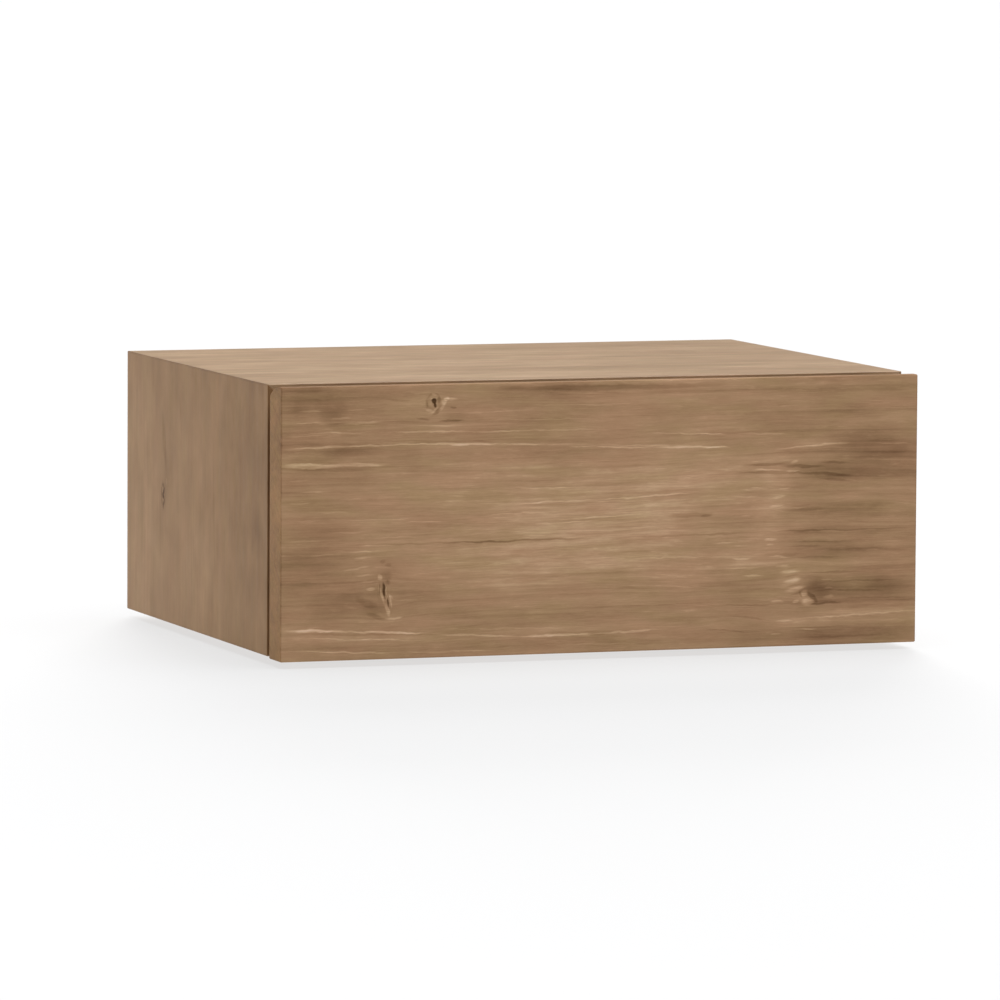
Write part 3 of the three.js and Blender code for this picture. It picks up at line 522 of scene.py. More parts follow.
# ------------------------------------------------------------------ what the front shows
KNOT_A = on_front(434, 402)
KNOT_B = on_front(383.5, 593)
KNOT_C = on_front(797, 583)
front_knots = [
    {
        "at": KNOT_A,
        "swerve": (30.0, 16.0),
        "push": 0.62,
        "core": (5.0, 5.6),
        "turns": 13.0,
        "ring": 0.035,
        "fill": -0.03,
        "rim": -0.075,
    },
    {
        "at": KNOT_B,
        "swerve": (34.0, 24.0),
        "push": 0.6,
        "core": (3.9, 13.0),
        "turns": 9.0,
        "ring": 0.03,
        "fill": -0.02,
        "rim": -0.035,
    },
    {"at": KNOT_C, "swerve": (34.0, 22.0), "push": 0.55},
]
front_light = [
    # pale lines along the fibres
    stroke(282, 466.8, 340, 466.2, 3.3, 0.37),
    stroke(326, 465.4, 388, 464.4, 2.5, 0.34),
    stroke(282, 465.0, 330, 464.0, 1.0, 0.16),
    stroke(282, 449.0, 360, 446.0, 1.4, 0.30),
    stroke(340, 446.4, 430, 443.6, 1.2, 0.32),
    stroke(415, 444.0, 505, 444.2, 1.5, 0.36),
    stroke(500, 444.0, 545, 444.6, 1.2, 0.30),
    stroke(560, 445.5, 660, 447.5, 1.1, 0.26),
    stroke(655, 447.0, 731, 447.4, 1.5, 0.32),
    stroke(392, 431.6, 470, 431.2, 1.2, 0.28),
    stroke(468, 431.4, 520, 430.8, 1.0, 0.22),
    stroke(424, 426.0, 470, 425.6, 0.9, 0.14),
    stroke(300, 434.0, 372, 432.0, 1.1, 0.22),
    stroke(284, 436.8, 330, 435.2, 0.9, 0.14),
    stroke(440, 412.5, 520, 411.2, 0.9, 0.14),
    stroke(520, 405.5, 640, 403.5, 0.9, 0.13),
    stroke(640, 433.0, 730, 434.0, 0.9, 0.18),
    stroke(500, 505.0, 600, 499.6, 1.1, 0.22),
    stroke(596, 500.0, 690, 493.6, 1.2, 0.26),
    stroke(480, 515.2, 560, 511.2, 1.0, 0.18),
    stroke(556, 519.8, 640, 514.2, 1.1, 0.20),
    stroke(520, 524.0, 610, 520.4, 0.9, 0.15),
    # short ticks one above the other, up at the left
    stroke(300, 412.0, 322, 411.2, 1.2, 0.16),
    stroke(318, 399.0, 340, 398.4, 1.1, 0.13),
    stroke(330, 419.0, 352, 418.2, 1.2, 0.18),
    stroke(296, 423.6, 316, 423.0, 1.0, 0.14),
    stroke(340, 424.4, 384, 422.4, 1.3, 0.22),
    stroke(346, 410.0, 366, 409.4, 1.0, 0.14),
    stroke(288, 481.0, 310, 480.4, 1.0, 0.12),
    stroke(300, 492.4, 326, 491.6, 1.0, 0.14),
    stroke(340, 500.0, 370, 499.0, 1.0, 0.12),
    stroke(286, 503.6, 312, 503.0, 1.1, 0.15),
    stroke(310, 512.6, 350, 511.8, 1.0, 0.14),
    stroke(296, 521.6, 318, 521.0, 1.0, 0.12),
    stroke(330, 533.0, 368, 532.0, 1.0, 0.15),
    stroke(290, 541.6, 320, 541.0, 1.1, 0.13),
    stroke(348, 552.6, 374, 551.0, 1.1, 0.17),
    stroke(352, 558.6, 376, 557.0, 1.2, 0.18),
    stroke(360, 546.0, 392, 545.4, 1.0, 0.14),
    stroke(372, 538.0, 420, 536.8, 1.0, 0.14),
    stroke(400, 523.0, 452, 521.4, 1.0, 0.13),
    stroke(284, 424.0, 396, 421.5, 0.9, 0.12),
    stroke(470, 420.5, 620, 418.0, 0.9, 0.14),
    stroke(500, 431.0, 640, 428.5, 0.9, 0.16),
    stroke(520, 443.5, 700, 446.0, 0.9, 0.15),
    stroke(700, 447.0, 730, 447.0, 1.2, 0.22),
    stroke(700, 434.0, 726, 433.8, 1.1, 0.20),
    stroke(736, 434.2, 792, 433.2, 1.0, 0.16),
    stroke(778, 449.0, 850, 442.0, 1.5, 0.28),
    stroke(876, 443.2, 911, 443.0, 1.1, 0.20),
    stroke(285, 631.0, 345, 631.2, 1.9, 0.42),
    stroke(340, 631.2, 430, 633.4, 1.7, 0.38),
    stroke(426, 633.6, 520, 636.4, 1.4, 0.32),
    stroke(516, 636.6, 600, 633.4, 1.5, 0.36),
    stroke(596, 633.6, 664, 628.6, 1.4, 0.30),
    stroke(440, 629.0, 560, 628.0, 0.9, 0.14),
    stroke(300, 638.0, 420, 640.5, 0.9, 0.20),
    stroke(286, 651.5, 400, 652.6, 1.2, 0.26),
    stroke(396, 652.6, 500, 650.4, 1.1, 0.22),
    stroke(540, 645.0, 640, 643.0, 0.9, 0.15),
    stroke(802, 618.5, 912, 610.0, 1.2, 0.28),
    stroke(776, 620.8, 793, 620.6, 1.2, 0.26),
    stroke(800, 628.4, 817, 628.2, 1.5, 0.20),
    stroke(770, 634.5, 782, 633.5, 1.2, 0.22),
    stroke(480, 489.0, 600, 487.5, 0.9, 0.13),
    stroke(560, 502.0, 700, 500.5, 0.9, 0.10),
    stroke(300, 521.0, 420, 519.0, 0.8, 0.10),
    stroke(620, 559.0, 740, 556.0, 0.9, 0.13),
    stroke(600, 585.0, 748, 588.0, 0.8, 0.11),
    stroke(640, 604.0, 770, 607.0, 0.8, 0.10),
    stroke(286, 556.0, 345, 554.0, 0.9, 0.13),
    stroke(452, 566.0, 560, 562.0, 0.8, 0.10),
    # short curls beside the long knot
    stroke(341, 571.0, 372, 566.2, 1.4, 0.22),
    stroke(356, 576.5, 369, 574.8, 1.3, 0.20),
    stroke(362, 582.0, 374, 580.6, 1.2, 0.18),
    stroke(366, 589.2, 376, 588.8, 2.0, 0.30),
    stroke(372, 567.0, 392, 568.0, 1.2, 0.14),
    stroke(395, 601.0, 416, 599.6, 1.2, 0.14),
    stroke(386, 618.8, 403, 617.4, 1.6, 0.42),
    # its pale flanks
    stroke(377.5, 577.5, 383.0, 577.0, 3.2, 0.34),
    stroke(379.0, 584.0, 383.5, 604.0, 1.6, 0.24),
    stroke(384.0, 583.0, 387.6, 597.0, 1.2, 0.26),
    stroke(384.5, 603.0, 390.0, 616.5, 2.6, 0.32),
    stroke(390.0, 595.0, 391.5, 608.0, 1.2, 0.24),
    stroke(389.0, 594.5, 393.5, 599.0, 2.0, 0.18),
    # round the small knot
    stroke(431.5, 394.6, 437.0, 395.4, 1.6, 0.22),
    stroke(431.0, 400.5, 433.0, 399.2, 1.0, 0.20),
    stroke(425.0, 409.5, 435.5, 412.4, 1.7, 0.26),
    stroke(433.0, 412.0, 438.5, 406.5, 1.4, 0.24),
    stroke(438.0, 411.5, 444.5, 404.5, 1.9, 0.20),
    stroke(440.8, 405.8, 446.2, 399.4, 3.4, 0.26),
    stroke(443.0, 400.5, 450.0, 398.2, 2.6, 0.34),
    stroke(446.0, 399.2, 458.0, 399.2, 1.8, 0.26),
    # column of ticks where the fibres dip, and the curl below it: pale ticks, partly painted sheen, with painted shade
    # drawn under some of them
    stroke(785.0, 471.0, 800.0, 470.5, 1.6, 0.26),
    stroke(752.0, 470.2, 782.0, 470.2, 1.1, 0.22),
    stroke(790.0, 463.0, 799.0, 460.5, 1.8, 0.22),
    stroke(741.0, 488.8, 768.0, 488.8, 1.1, 0.22),
    stroke(778.0, 489.5, 791.0, 488.0, 1.4, 0.20),
    stroke(731.0, 496.8, 762.0, 496.8, 1.0, 0.18),
    stroke(772.0, 497.0, 786.0, 496.4, 1.5, 0.17),
    stroke(769.0, 507.4, 785.0, 504.6, 1.5, 0.17),
    stroke(740.0, 515.4, 752.0, 515.2, 1.0, 0.18),
    stroke(764.0, 540.0, 777.0, 539.2, 1.5, 0.28),
    stroke(766.0, 545.0, 775.0, 544.0, 1.2, 0.16),
    stroke(712.0, 543.4, 737.0, 542.6, 1.0, 0.18),
    stroke(732.0, 558.4, 752.0, 558.2, 1.2, 0.20),
    stroke(770.0, 556.4, 790.0, 556.8, 1.2, 0.16),
    stroke(730.0, 568.4, 762.0, 567.4, 1.1, 0.18),
    stroke(742.0, 575.8, 765.0, 575.4, 1.3, 0.26),
    stroke(775.0, 566.5, 790.0, 565.2, 1.8, 0.18),
    stroke(779.5, 573.2, 799.0, 570.6, 2.4, 0.22),
    stroke(783.0, 582.3, 801.0, 578.4, 2.8, 0.25),
    stroke(785.0, 591.2, 806.0, 586.0, 3.2, 0.28),
    stroke(801.0, 595.0, 808.5, 592.0, 3.6, 0.24),
    stroke(801.0, 602.2, 814.0, 601.4, 4.0, 0.32),
    stroke(787.0, 568.6, 798.0, 567.4, 1.2, -0.10),
    stroke(784.0, 577.2, 800.0, 574.4, 1.3, -0.12),
    stroke(786.0, 586.6, 802.0, 582.4, 1.4, -0.14),
    stroke(790.0, 595.6, 802.0, 591.4, 1.5, -0.14),
    stroke(770.0, 601.8, 784.0, 601.6, 1.5, 0.28),
    stroke(792.0, 602.0, 799.0, 600.5, 1.5, 0.26),
    stroke(821.0, 579.5, 832.0, 579.2, 1.4, 0.18),
    stroke(823.0, 588.0, 834.0, 587.6, 1.4, 0.18),
    stroke(823.0, 596.5, 834.0, 596.2, 1.4, 0.18),
]
front_dark = [
    stroke(282, 391.5, 330, 389.5, 3.0, 0.08),
    stroke(458, 389.5, 720, 385.5, 3.6, 0.13),
    stroke(640, 392.5, 900, 389.0, 2.6, 0.08),
    stroke(417, 418.3, 431, 419.2, 1.2, 0.18),
    stroke(439, 420.8, 465, 420.2, 1.3, 0.22),
    stroke(449, 407.2, 457, 407.4, 1.3, 0.20),
    stroke(384, 400.5, 412, 399.5, 1.4, 0.10),
    stroke(380, 441.2, 470, 441.6, 1.5, 0.10),
    stroke(474, 441.0, 500, 442.0, 1.3, 0.12),
    stroke(330, 545.0, 470, 543.5, 1.1, 0.10),
    stroke(428, 543.0, 600, 538.4, 1.5, 0.26),
    stroke(432, 543.0, 530, 540.3, 1.3, 0.05),
    stroke(666, 515.4, 714, 514.8, 3.4, 0.20),
    stroke(560, 521.0, 640, 518.6, 1.4, 0.06),
    stroke(610, 538.0, 760, 532.5, 1.1, 0.14),
    stroke(750, 532.0, 911, 527.5, 1.1, 0.12),
    stroke(700, 534.5, 745, 532.0, 1.3, 0.10),
    stroke(815, 548.8, 880, 548.4, 2.4, 0.08),
    stroke(870, 548.2, 912, 550.6, 2.2, 0.08),
    # dark lines about the place where the fibres dip: darker wood, with painted shade of the wavy figure
    stroke(744, 465.6, 790, 463.4, 2.2, 0.24),
    stroke(780, 465.5, 824, 466.4, 2.1, 0.20),
    stroke(738, 472.8, 800, 472.4, 2.1, 0.21),
    stroke(790, 472.2, 852, 474.8, 2.0, 0.18),
    stroke(822, 463.0, 850, 461.8, 1.5, 0.16),
    stroke(820, 479.0, 850, 480.5, 1.8, 0.11),
    stroke(786, 511.5, 830, 507.0, 2.2, 0.11),
    stroke(790, 506.0, 812, 505.5, 1.8, 0.08),
    stroke(788, 541.5, 850, 541.0, 1.2, 0.12),
    stroke(786, 546.0, 826, 545.6, 1.3, 0.12),
    stroke(790, 557.5, 840, 556.8, 1.3, 0.10),
    stroke(800, 572.5, 862, 571.6, 1.3, 0.14),
    stroke(826, 581.0, 900, 579.6, 1.3, 0.12),
    stroke(818, 590.5, 890, 590.0, 1.3, 0.12),
    stroke(836, 598.0, 905, 597.0, 1.2, 0.10),
    stroke(862, 452.0, 911, 451.0, 2.4, 0.05),
    stroke(846, 457.5, 880, 457.0, 2.2, 0.05),
    stroke(868, 440.0, 905, 439.4, 2.2, 0.06),
    stroke(780, 628.0, 850, 625.6, 1.2, 0.10),
    stroke(800, 637.5, 890, 634.0, 1.3, 0.10),
    stroke(700, 516.0, 713, 515.0, 2.0, 0.14),
    stroke(785, 531.0, 830, 531.5, 2.4, 0.07),
    stroke(758, 554.5, 805, 554.0, 2.0, 0.11),
    stroke(700, 539.0, 760, 536.5, 0.9, 0.08),
    stroke(727, 615.0, 770, 620.4, 1.2, 0.12),
    stroke(703, 628.5, 748, 633.0, 1.2, 0.12),
    stroke(700, 606.5, 790, 604.0, 1.2, 0.12),
    stroke(800, 604.0, 846, 601.5, 1.4, 0.18),
    stroke(807.0, 592.0, 817.5, 601.5, 2.8, 0.22),
    stroke(798.5, 590.5, 803.0, 598.0, 1.8, 0.15),
    stroke(355, 599.0, 377, 606.0, 5.0, 0.11),
    stroke(366, 614.0, 386, 619.5, 3.4, 0.13),
    stroke(384.5, 566.0, 392.0, 565.0, 3.0, 0.12),
    stroke(385.0, 581.5, 391.0, 583.5, 3.0, 0.16),
    stroke(380.0, 562.0, 386.0, 561.0, 2.4, 0.10),
    stroke(284, 470.5, 380, 469.8, 1.4, 0.10),
    stroke(284, 634.5, 500, 634.0, 1.2, 0.10),
    stroke(284, 659.0, 470, 658.0, 2.4, 0.06),
    stroke(426.2, 400.0, 427.5, 409.0, 1.7, 0.15),
    stroke(439.0, 396.5, 438.8, 404.0, 2.4, 0.20),
    stroke(433.0, 414.6, 440.2, 408.8, 2.2, 0.24),
]
front_stain_and_painted_light_patches = [
    # dark clouds right of the place where the fibres dip: darker wood, with painted shade of the wavy figure
    patch(874, 445, 76, 26, -0.19),
    patch(886, 441, 60, 23, -0.055),
    patch(894, 463, 60, 24, -0.055),
    patch(834, 472, 46, 14, -0.16),
    patch(880, 473, 56, 14, -0.085),
    patch(800, 466, 66, 7, -0.07),
    patch(830, 509, 70, 7, -0.12),
    patch(850, 530, 86, 7, -0.10),
    patch(832, 548, 66, 18, -0.16),
    patch(880, 549, 60, 7, -0.09),
    patch(860, 586, 80, 25, -0.18),
    patch(818, 590, 20, 17, -0.12),
    patch(892, 590, 40, 24, -0.07),
    patch(826, 602, 60, 4, -0.09),
    patch(850, 636, 98, 17, -0.105),
    patch(812, 631, 30, 12, -0.05),
    patch(898, 628, 40, 18, -0.045),
    patch(880, 540, 90, 110, -0.012),
    # the pale column beside them: a painted chatoyant sheen along the wavy figure
    patch(777, 478, 20, 40, 0.10),
    patch(766, 520, 26, 46, 0.10),
    patch(748, 560, 34, 36, 0.075),
    patch(790, 579, 17, 19, 0.12),
    patch(806, 599, 11, 8, 0.12),
    patch(770, 590, 26, 20, 0.05),
    patch(792, 621, 26, 5, 0.06),
    patch(812, 444, 36, 7, 0.08),
    patch(850, 497, 70, 9, 0.045),
    patch(850, 520, 70, 6, 0.04),
    patch(860, 611, 60, 6, 0.06),
    patch(454, 414, 17, 8, -0.07),
    patch(387.5, 577, 6, 8, -0.10),
    patch(812, 468, 36, 10, -0.06),
    patch(822, 587, 32, 22, -0.09),
    # the broad drift: soft paler and darker patches, paler in the middle of the face
    patch(570, 525, 260, 110, 0.05),
    patch(325, 500, 70, 76, -0.045),
    patch(800, 430, 120, 44, -0.03),
    patch(332, 407, 20, 20, -0.09),
    patch(306, 404, 24, 14, -0.04),
    patch(352, 452, 46, 7, -0.05),
    patch(300, 412, 14, 12, -0.04),
    patch(345, 607, 60, 17, -0.10),
    patch(372, 611, 17, 11, -0.09),
    patch(374, 590, 10, 26, -0.04),
    patch(388, 571, 14, 12, -0.05),
    patch(300, 395, 44, 20, -0.07),
    patch(350, 400, 60, 16, -0.06),
    patch(335, 420, 22, 16, -0.05),
    patch(600, 388, 150, 8, -0.09),
    patch(560, 525, 230, 105, 0.075),
    patch(520, 505, 190, 60, 0.02),
    patch(650, 480, 160, 50, 0.06),
    patch(600, 600, 190, 40, 0.04),
    patch(640, 560, 120, 40, 0.03),
    patch(470, 470, 110, 22, 0.04),
    patch(560, 640, 250, 40, 0.06),
    patch(700, 560, 110, 90, 0.02),
    patch(540, 540, 190, 80, 0.02),
    patch(340, 452, 34, 8, -0.07),
    patch(420, 455, 70, 7, -0.04),
    patch(560, 450, 120, 6, -0.05),
    patch(300, 560, 60, 60, -0.045),
    patch(310, 490, 40, 50, -0.02),
    patch(560, 600, 150, 34, -0.02),
    patch(480, 650, 190, 14, -0.06),
    patch(700, 640, 120, 14, -0.03),
    patch(690, 410, 120, 24, -0.03),
    patch(840, 400, 90, 24, -0.03),
]
front_cracks = [
    stroke(383.2, 581.0, 384.8, 599.5, 1.9, 0.34),
    stroke(387.3, 597.0, 388.3, 606.5, 1.5, 0.24),
    stroke(379.6, 582.0, 380.6, 597.0, 1.0, 0.14),
    stroke(431.2, 401.4, 437.2, 401.2, 3.1, 0.42),
    stroke(435.0, 402.0, 434.9, 408.4, 1.9, 0.36),
]
left_marks_dark = [
    stroke(162.6, 483.0, 163.6, 488.5, 1.3, 0.22, on_left, 1.2),
    stroke(164.6, 487.5, 163.0, 494.0, 1.3, 0.26, on_left, 1.2),
    stroke(162.2, 493.0, 164.2, 499.0, 1.4, 0.26, on_left, 1.2),
    stroke(164.8, 498.5, 163.4, 505.0, 1.2, 0.22, on_left, 1.2),
    stroke(163.0, 503.0, 163.6, 510.0, 1.2, 0.14, on_left, 1.2),
    stroke(161.2, 486.0, 161.4, 497.0, 1.1, 0.10, on_left, 1.2),
    stroke(162.5, 410.0, 166.0, 470.0, 3.6, 0.09, on_left, 1.2),
    stroke(180.0, 400.0, 182.0, 440.0, 1.2, 0.07, on_left, 1.2),
    stroke(213.0, 440.0, 215.0, 600.0, 1.6, 0.05, on_left, 1.2),
]
left_stain_and_painted_light_patches = [
    # painted light: paler towards the back, and painted shade: darker towards the front, as the light falls on the side
    {"at": (0.0, -22.0), "size": (170.0, 56.0), "by": 0.085},
    {"at": (0.0, -270.0), "size": (190.0, 105.0), "by": -0.085},
    # paler low down, darker high up
    {"at": (-74.0, -150.0), "size": (92.0, 260.0), "by": 0.05},
    {"at": (84.0, -150.0), "size": (60.0, 230.0), "by": -0.045},
    {"at": on_left(166.5, 470), "size": (22.0, 9.0), "by": -0.045},
    {"at": on_left(163.5, 497), "size": (17.0, 7.0), "by": -0.06},
]
left_marks_light = [
    stroke(166.6, 478.0, 167.0, 486.0, 1.6, 0.12, on_left, 1.2),
    stroke(158.0, 490.0, 158.6, 512.0, 1.6, 0.08, on_left, 1.2),
    stroke(192.0, 470.0, 193.0, 640.0, 1.0, 0.07, on_left, 1.2),
]


# ------------------------------------------------------------------ mesh helpers
def finish_mesh(obj, angle=32.0, weighted=True):
    me = obj.data
    me.polygons.foreach_set("use_smooth", [True] * len(me.polygons))
    me.set_sharp_from_angle(angle=math.radians(angle))
    if weighted:
        w = obj.modifiers.new("face_weighted", "WEIGHTED_NORMAL")
        w.keep_sharp = True
        w.weight = 80
    return obj


def new_object(name, bm_or_mesh, materials):
    if isinstance(bm_or_mesh, bmesh.types.BMesh):
        me = bpy.data.meshes.new(name)
        bm_or_mesh.normal_update()
        bm_or_mesh.to_mesh(me)
        bm_or_mesh.free()
    else:
        me = bm_or_mesh
    me.name = name
    obj = bpy.data.objects.new(name, me)
    bpy.context.scene.collection.objects.link(obj)
    me.materials.clear()
    for m in materials:
        me.materials.append(m)
    return obj


def stands_for(obj, *cad):
    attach(obj, BODY[cad[0]])
    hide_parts(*cad)
    return obj


def cad_bmesh(node):
    bm = bmesh.new()
    bm.from_mesh(nodes[node].data)
    bmesh.ops.remove_doubles(bm, verts=bm.verts[:], dist=2e-6)
    bmesh.ops.dissolve_limit(
        bm, angle_limit=math.radians(0.6), verts=bm.verts[:], edges=bm.edges[:], delimit=set()
    )
    return bm


def refine(node, material, width, segments=2, keep=None, angle=28.0, profile=0.6, shade=40.0):
    """The CAD node's own shape with eased edges. keep(edge) picks the edges to ease."""
    bm = cad_bmesh(node)
    picked = []
    for e in bm.edges:
        if len(e.link_faces) != 2 or e.calc_face_angle(0.0) < math.radians(angle):
            continue
        if keep is None or keep(e):
            picked.append(e)
    if picked and width > 0:
        bmesh.ops.bevel(
            bm,
            geom=picked,
            offset=width,
            segments=segments,
            profile=profile,
            affect="EDGES",
            clamp_overlap=True,
            miter_outer="ARC",
        )
    obj = new_object(node + "_made", bm, [material])
    finish_mesh(obj, shade)
    return stands_for(obj, node)


def rounded(points):
    """A closed outline from (u, v, radius, segments): each corner becomes an arc."""
    out = []
    n = len(points)
    for i, (u, v, r, seg) in enumerate(points):
        p = np.array([u, v])
        if r <= 0:
            out.append((u, v))
            continue
        a = np.array(points[i - 1][:2]) - p
        b = np.array(points[(i + 1) % n][:2]) - p
        la, lb = np.linalg.norm(a), np.linalg.norm(b)
        a, b = a / la, b / lb
        half = math.acos(max(-1.0, min(1.0, float(a @ b)))) / 2
        cut = min(r / math.tan(half), 0.49 * la, 0.49 * lb)
        rr = cut * math.tan(half)
        centre = p + (a + b) / np.linalg.norm(a + b) * (rr / math.sin(half))
        s, e = p + a * cut - centre, p + b * cut - centre
        a0, a1 = math.atan2(s[1], s[0]), math.atan2(e[1], e[0])
        d = (a1 - a0 + math.pi) % (2 * math.pi) - math.pi
        for k in range(seg + 1):
            t = a0 + d * k / seg
            out.append((centre[0] + rr * math.cos(t), centre[1] + rr * math.sin(t)))
    return out


def inset(outline, by):
    """Moves a closed outline (counter-clockwise) inwards by a small step."""
    p = np.array(outline)
    prev, nxt = np.roll(p, 1, 0), np.roll(p, -1, 0)
    d1, d2 = p - prev, nxt - p
    d1 /= np.maximum(np.linalg.norm(d1, axis=1), 1e-9)[:, None]
    d2 /= np.maximum(np.linalg.norm(d2, axis=1), 1e-9)[:, None]
    n = np.stack([-(d1[:, 1] + d2[:, 1]), d1[:, 0] + d2[:, 0]], 1)
    ln = np.maximum(np.linalg.norm(n, axis=1), 1e-9)
    n /= ln[:, None]
    cosine = np.clip((n * np.stack([-d1[:, 1], d1[:, 0]], 1)).sum(1), 0.3, 1)
    return p + n * (by / cosine)[:, None]


def area2(outline):
    p = np.array(outline)
    q = np.roll(p, -1, 0)
    return float((p[:, 0] * q[:, 1] - q[:, 0] * p[:, 1]).sum())


def loft(name, outline, stations, place, materials, ease=0.0, steps=3, shade=32.0):
    """A closed body: one outline carried along the stations, its two ends eased and capped.
    place(u, v, w) gives the point in metres for outline (u, v) at station w, all in mm."""
    if area2(outline) < 0:
        outline = outline[::-1]
    rings = []
    lo, hi = stations[0], stations[-1]
    if ease > 0:
        for k in range(steps, 0, -1):
            t = math.pi / 2 * k / steps
            rings.append((lo + ease * (1 - math.sin(t)), inset(outline, ease * (1 - math.cos(t)))))
        inner = [s for s in stations if lo + ease * 1.2 < s < hi - ease * 1.2]
        rings += [(lo + ease, np.array(outline))] + [(s, np.array(outline)) for s in inner] + [(hi - ease, np.array(outline))]
        for k in range(1, steps + 1):
            t = math.pi / 2 * k / steps
            rings.append((hi - ease * (1 - math.sin(t)), inset(outline, ease * (1 - math.cos(t)))))
    else:
        rings = [(s, np.array(outline)) for s in stations]
    bm = bmesh.new()
    rows = []
    for w, pts in rings:
        rows.append([bm.verts.new(place(float(u), float(v), float(w))) for u, v in pts])
    n = len(rows[0])
    for r0, r1 in zip(rows, rows[1:]):
        for i in range(n):
            j = (i + 1) % n
            bm.faces.new((r0[i], r0[j], r1[j], r1[i]))
    bm.faces.new(rows[0][::-1])
    bm.faces.new(rows[-1])
    bmesh.ops.recalc_face_normals(bm, faces=bm.faces[:])
    obj = new_object(name, bm, materials)
    finish_mesh(obj, shade)
    return obj


def lathe(name, profile, segments, materials, shade=35.0):
    """Turned about local Y; profile is (radius, height) in mm, from axis to axis."""
    bm = bmesh.new()
    rows = []
    for r, y in profile:
        if r < 1e-6:
            rows.append([bm.verts.new((0, y * MM, 0))])
        else:
            rows.append(
                [
                    bm.verts.new(
                        (
                            r * MM * math.cos(2 * math.pi * i / segments),
                            y * MM,
                            r * MM * math.sin(2 * math.pi * i / segments),
                        )
                    )
                    for i in range(segments)
                ]
            )
    for a, b in zip(rows, rows[1:]):
        for i in range(segments):
            j = (i + 1) % segments
            if len(a) == 1 and len(b) == 1:
                continue
            if len(a) == 1:
                bm.faces.new((a[0], b[i], b[j]))
            elif len(b) == 1:
                bm.faces.new((a[i], a[j], b[0]))
            else:
                bm.faces.new((a[i], a[j], b[j], b[i]))
    bmesh.ops.recalc_face_normals(bm, faces=bm.faces[:])
    obj = new_object(name, bm, materials)
    finish_mesh(obj, shade, weighted=False)
    return obj


def carve(obj, cutters, operation="DIFFERENCE"):
    """Cuts the cutters out of obj, and removes them."""
    for c in cutters:
        m = obj.modifiers.new("cut", "BOOLEAN")
        m.operation = operation
        m.solver = "EXACT"
        m.object = c
    bpy.context.view_layer.update()
    keep = [m.name for m in obj.modifiers if m.type != "BOOLEAN"]
    for k in keep:
        obj.modifiers[k].show_viewport = False
    dg = bpy.context.evaluated_depsgraph_get()
    me = bpy.data.meshes.new_from_object(obj.evaluated_get(dg), depsgraph=dg)
    old = obj.data
    obj.modifiers.clear()
    obj.data = me
    me.name = obj.name
    bpy.data.meshes.remove(old)
    for c in cutters:
        cm = c.data
        bpy.data.objects.remove(c)
        bpy.data.meshes.remove(cm)
    return obj


def cutter_rod(axis, centre, radius, length, segments=28, slot=0.0):
    """A round or oblong cutter along an axis (0 x, 1 y), centred, sizes in mm. slot stretches it along Y."""
    bm = bmesh.new()
    half = segments // 2
    ring = []
    for i in range(segments):
        t = 2 * math.pi * i / segments
        ring.append((radius * math.cos(t) + (slot / 2 if math.cos(t) > 0 else -slot / 2), radius * math.sin(t)))
    lows, highs = [], []
    for u, v in ring:
        if axis == 0:
            lows.append(bm.verts.new(((centre[0] - length / 2) * MM, (centre[1] + u) * MM, (centre[2] + v) * MM)))
            highs.append(bm.verts.new(((centre[0] + length / 2) * MM, (centre[1] + u) * MM, (centre[2] + v) * MM)))
        else:
            lows.append(bm.verts.new(((centre[0] + u) * MM, (centre[1] - length / 2) * MM, (centre[2] + v) * MM)))
            highs.append(bm.verts.new(((centre[0] + u) * MM, (centre[1] + length / 2) * MM, (centre[2] + v) * MM)))
    bm.faces.new(lows)
    bm.faces.new(highs[::-1])
    for i in range(segments):
        j = (i + 1) % segments
        bm.faces.new((lows[i], highs[i], highs[j], lows[j]))
    bmesh.ops.recalc_face_normals(bm, faces=bm.faces[:])
    return new_object("cutter", bm, [])


# ------------------------------------------------------------------ other materials
def zinc(name, along=1, tint=(1.0, 1.0, 1.0), rough=0.33, seed=0.0):
    """Rolled, zinc-plated sheet: rolling lines along one axis, clouded plating, scuffs."""
    g = Graph(name)
    tc = g.add("ShaderNodeTexCoord")
    p = g.vmath("ADD", g.vmath("SCALE", tc.outputs["Object"], scale=1000.0), (seed, seed * 2, seed * 3))
    k = [3.2, 3.2, 3.2]
    k[along] = 0.05
    lines = g.noise(g.vmath("MULTIPLY", p, tuple(k)), detail=3.0, rough=0.65)
    cloud = g.noise(g.vmath("SCALE", p, scale=0.05), detail=3.0, rough=0.6)
    spangle = g.noise(g.vmath("SCALE", p, scale=0.6), detail=2.0, rough=0.6)
    k2 = [1.4, 1.4, 1.4]
    k2[along] = 0.35
    scuff = g.step(g.noise(g.vmath("MULTIPLY", p, tuple(k2)), detail=4.0, rough=0.75), 0.62, 0.72)
    v = g.plus(
        g.times(g.math("SUBTRACT", lines, 0.5), 0.22),
        g.times(g.math("SUBTRACT", cloud, 0.5), 0.22),
        g.times(g.math("SUBTRACT", spangle, 0.5), 0.12),
        g.times(scuff, -0.06),
        0.5,
    )
    c = g.ramp(
        v,
        [
            (0.25, tuple(0.40 * t for t in (1.0 * tint[0], 1.01 * tint[1], 1.02 * tint[2]))),
            (0.50, tuple(0.60 * t for t in (1.0 * tint[0], 1.01 * tint[1], 1.03 * tint[2]))),
            (0.75, tuple(0.74 * t for t in (1.0 * tint[0], 1.0 * tint[1], 1.0 * tint[2]))),
        ],
    )
    c = g.mix(g.step(cloud, 0.50, 0.75, 0.0, 0.35), c, g.mix(1.0, c, (0.93, 0.98, 1.08, 1), "MULTIPLY"))
    r = g.plus(g.times(g.math("SUBTRACT", lines, 0.5), 0.20), g.times(scuff, 0.16), g.times(cloud, 0.12), rough - 0.06)
    h = g.plus(g.times(lines, 0.6), g.times(spangle, 0.3), g.times(scuff, -0.5))
    return g.shader(c, r, metallic=1.0, bump=h, distance=0.00004, strength=0.35)


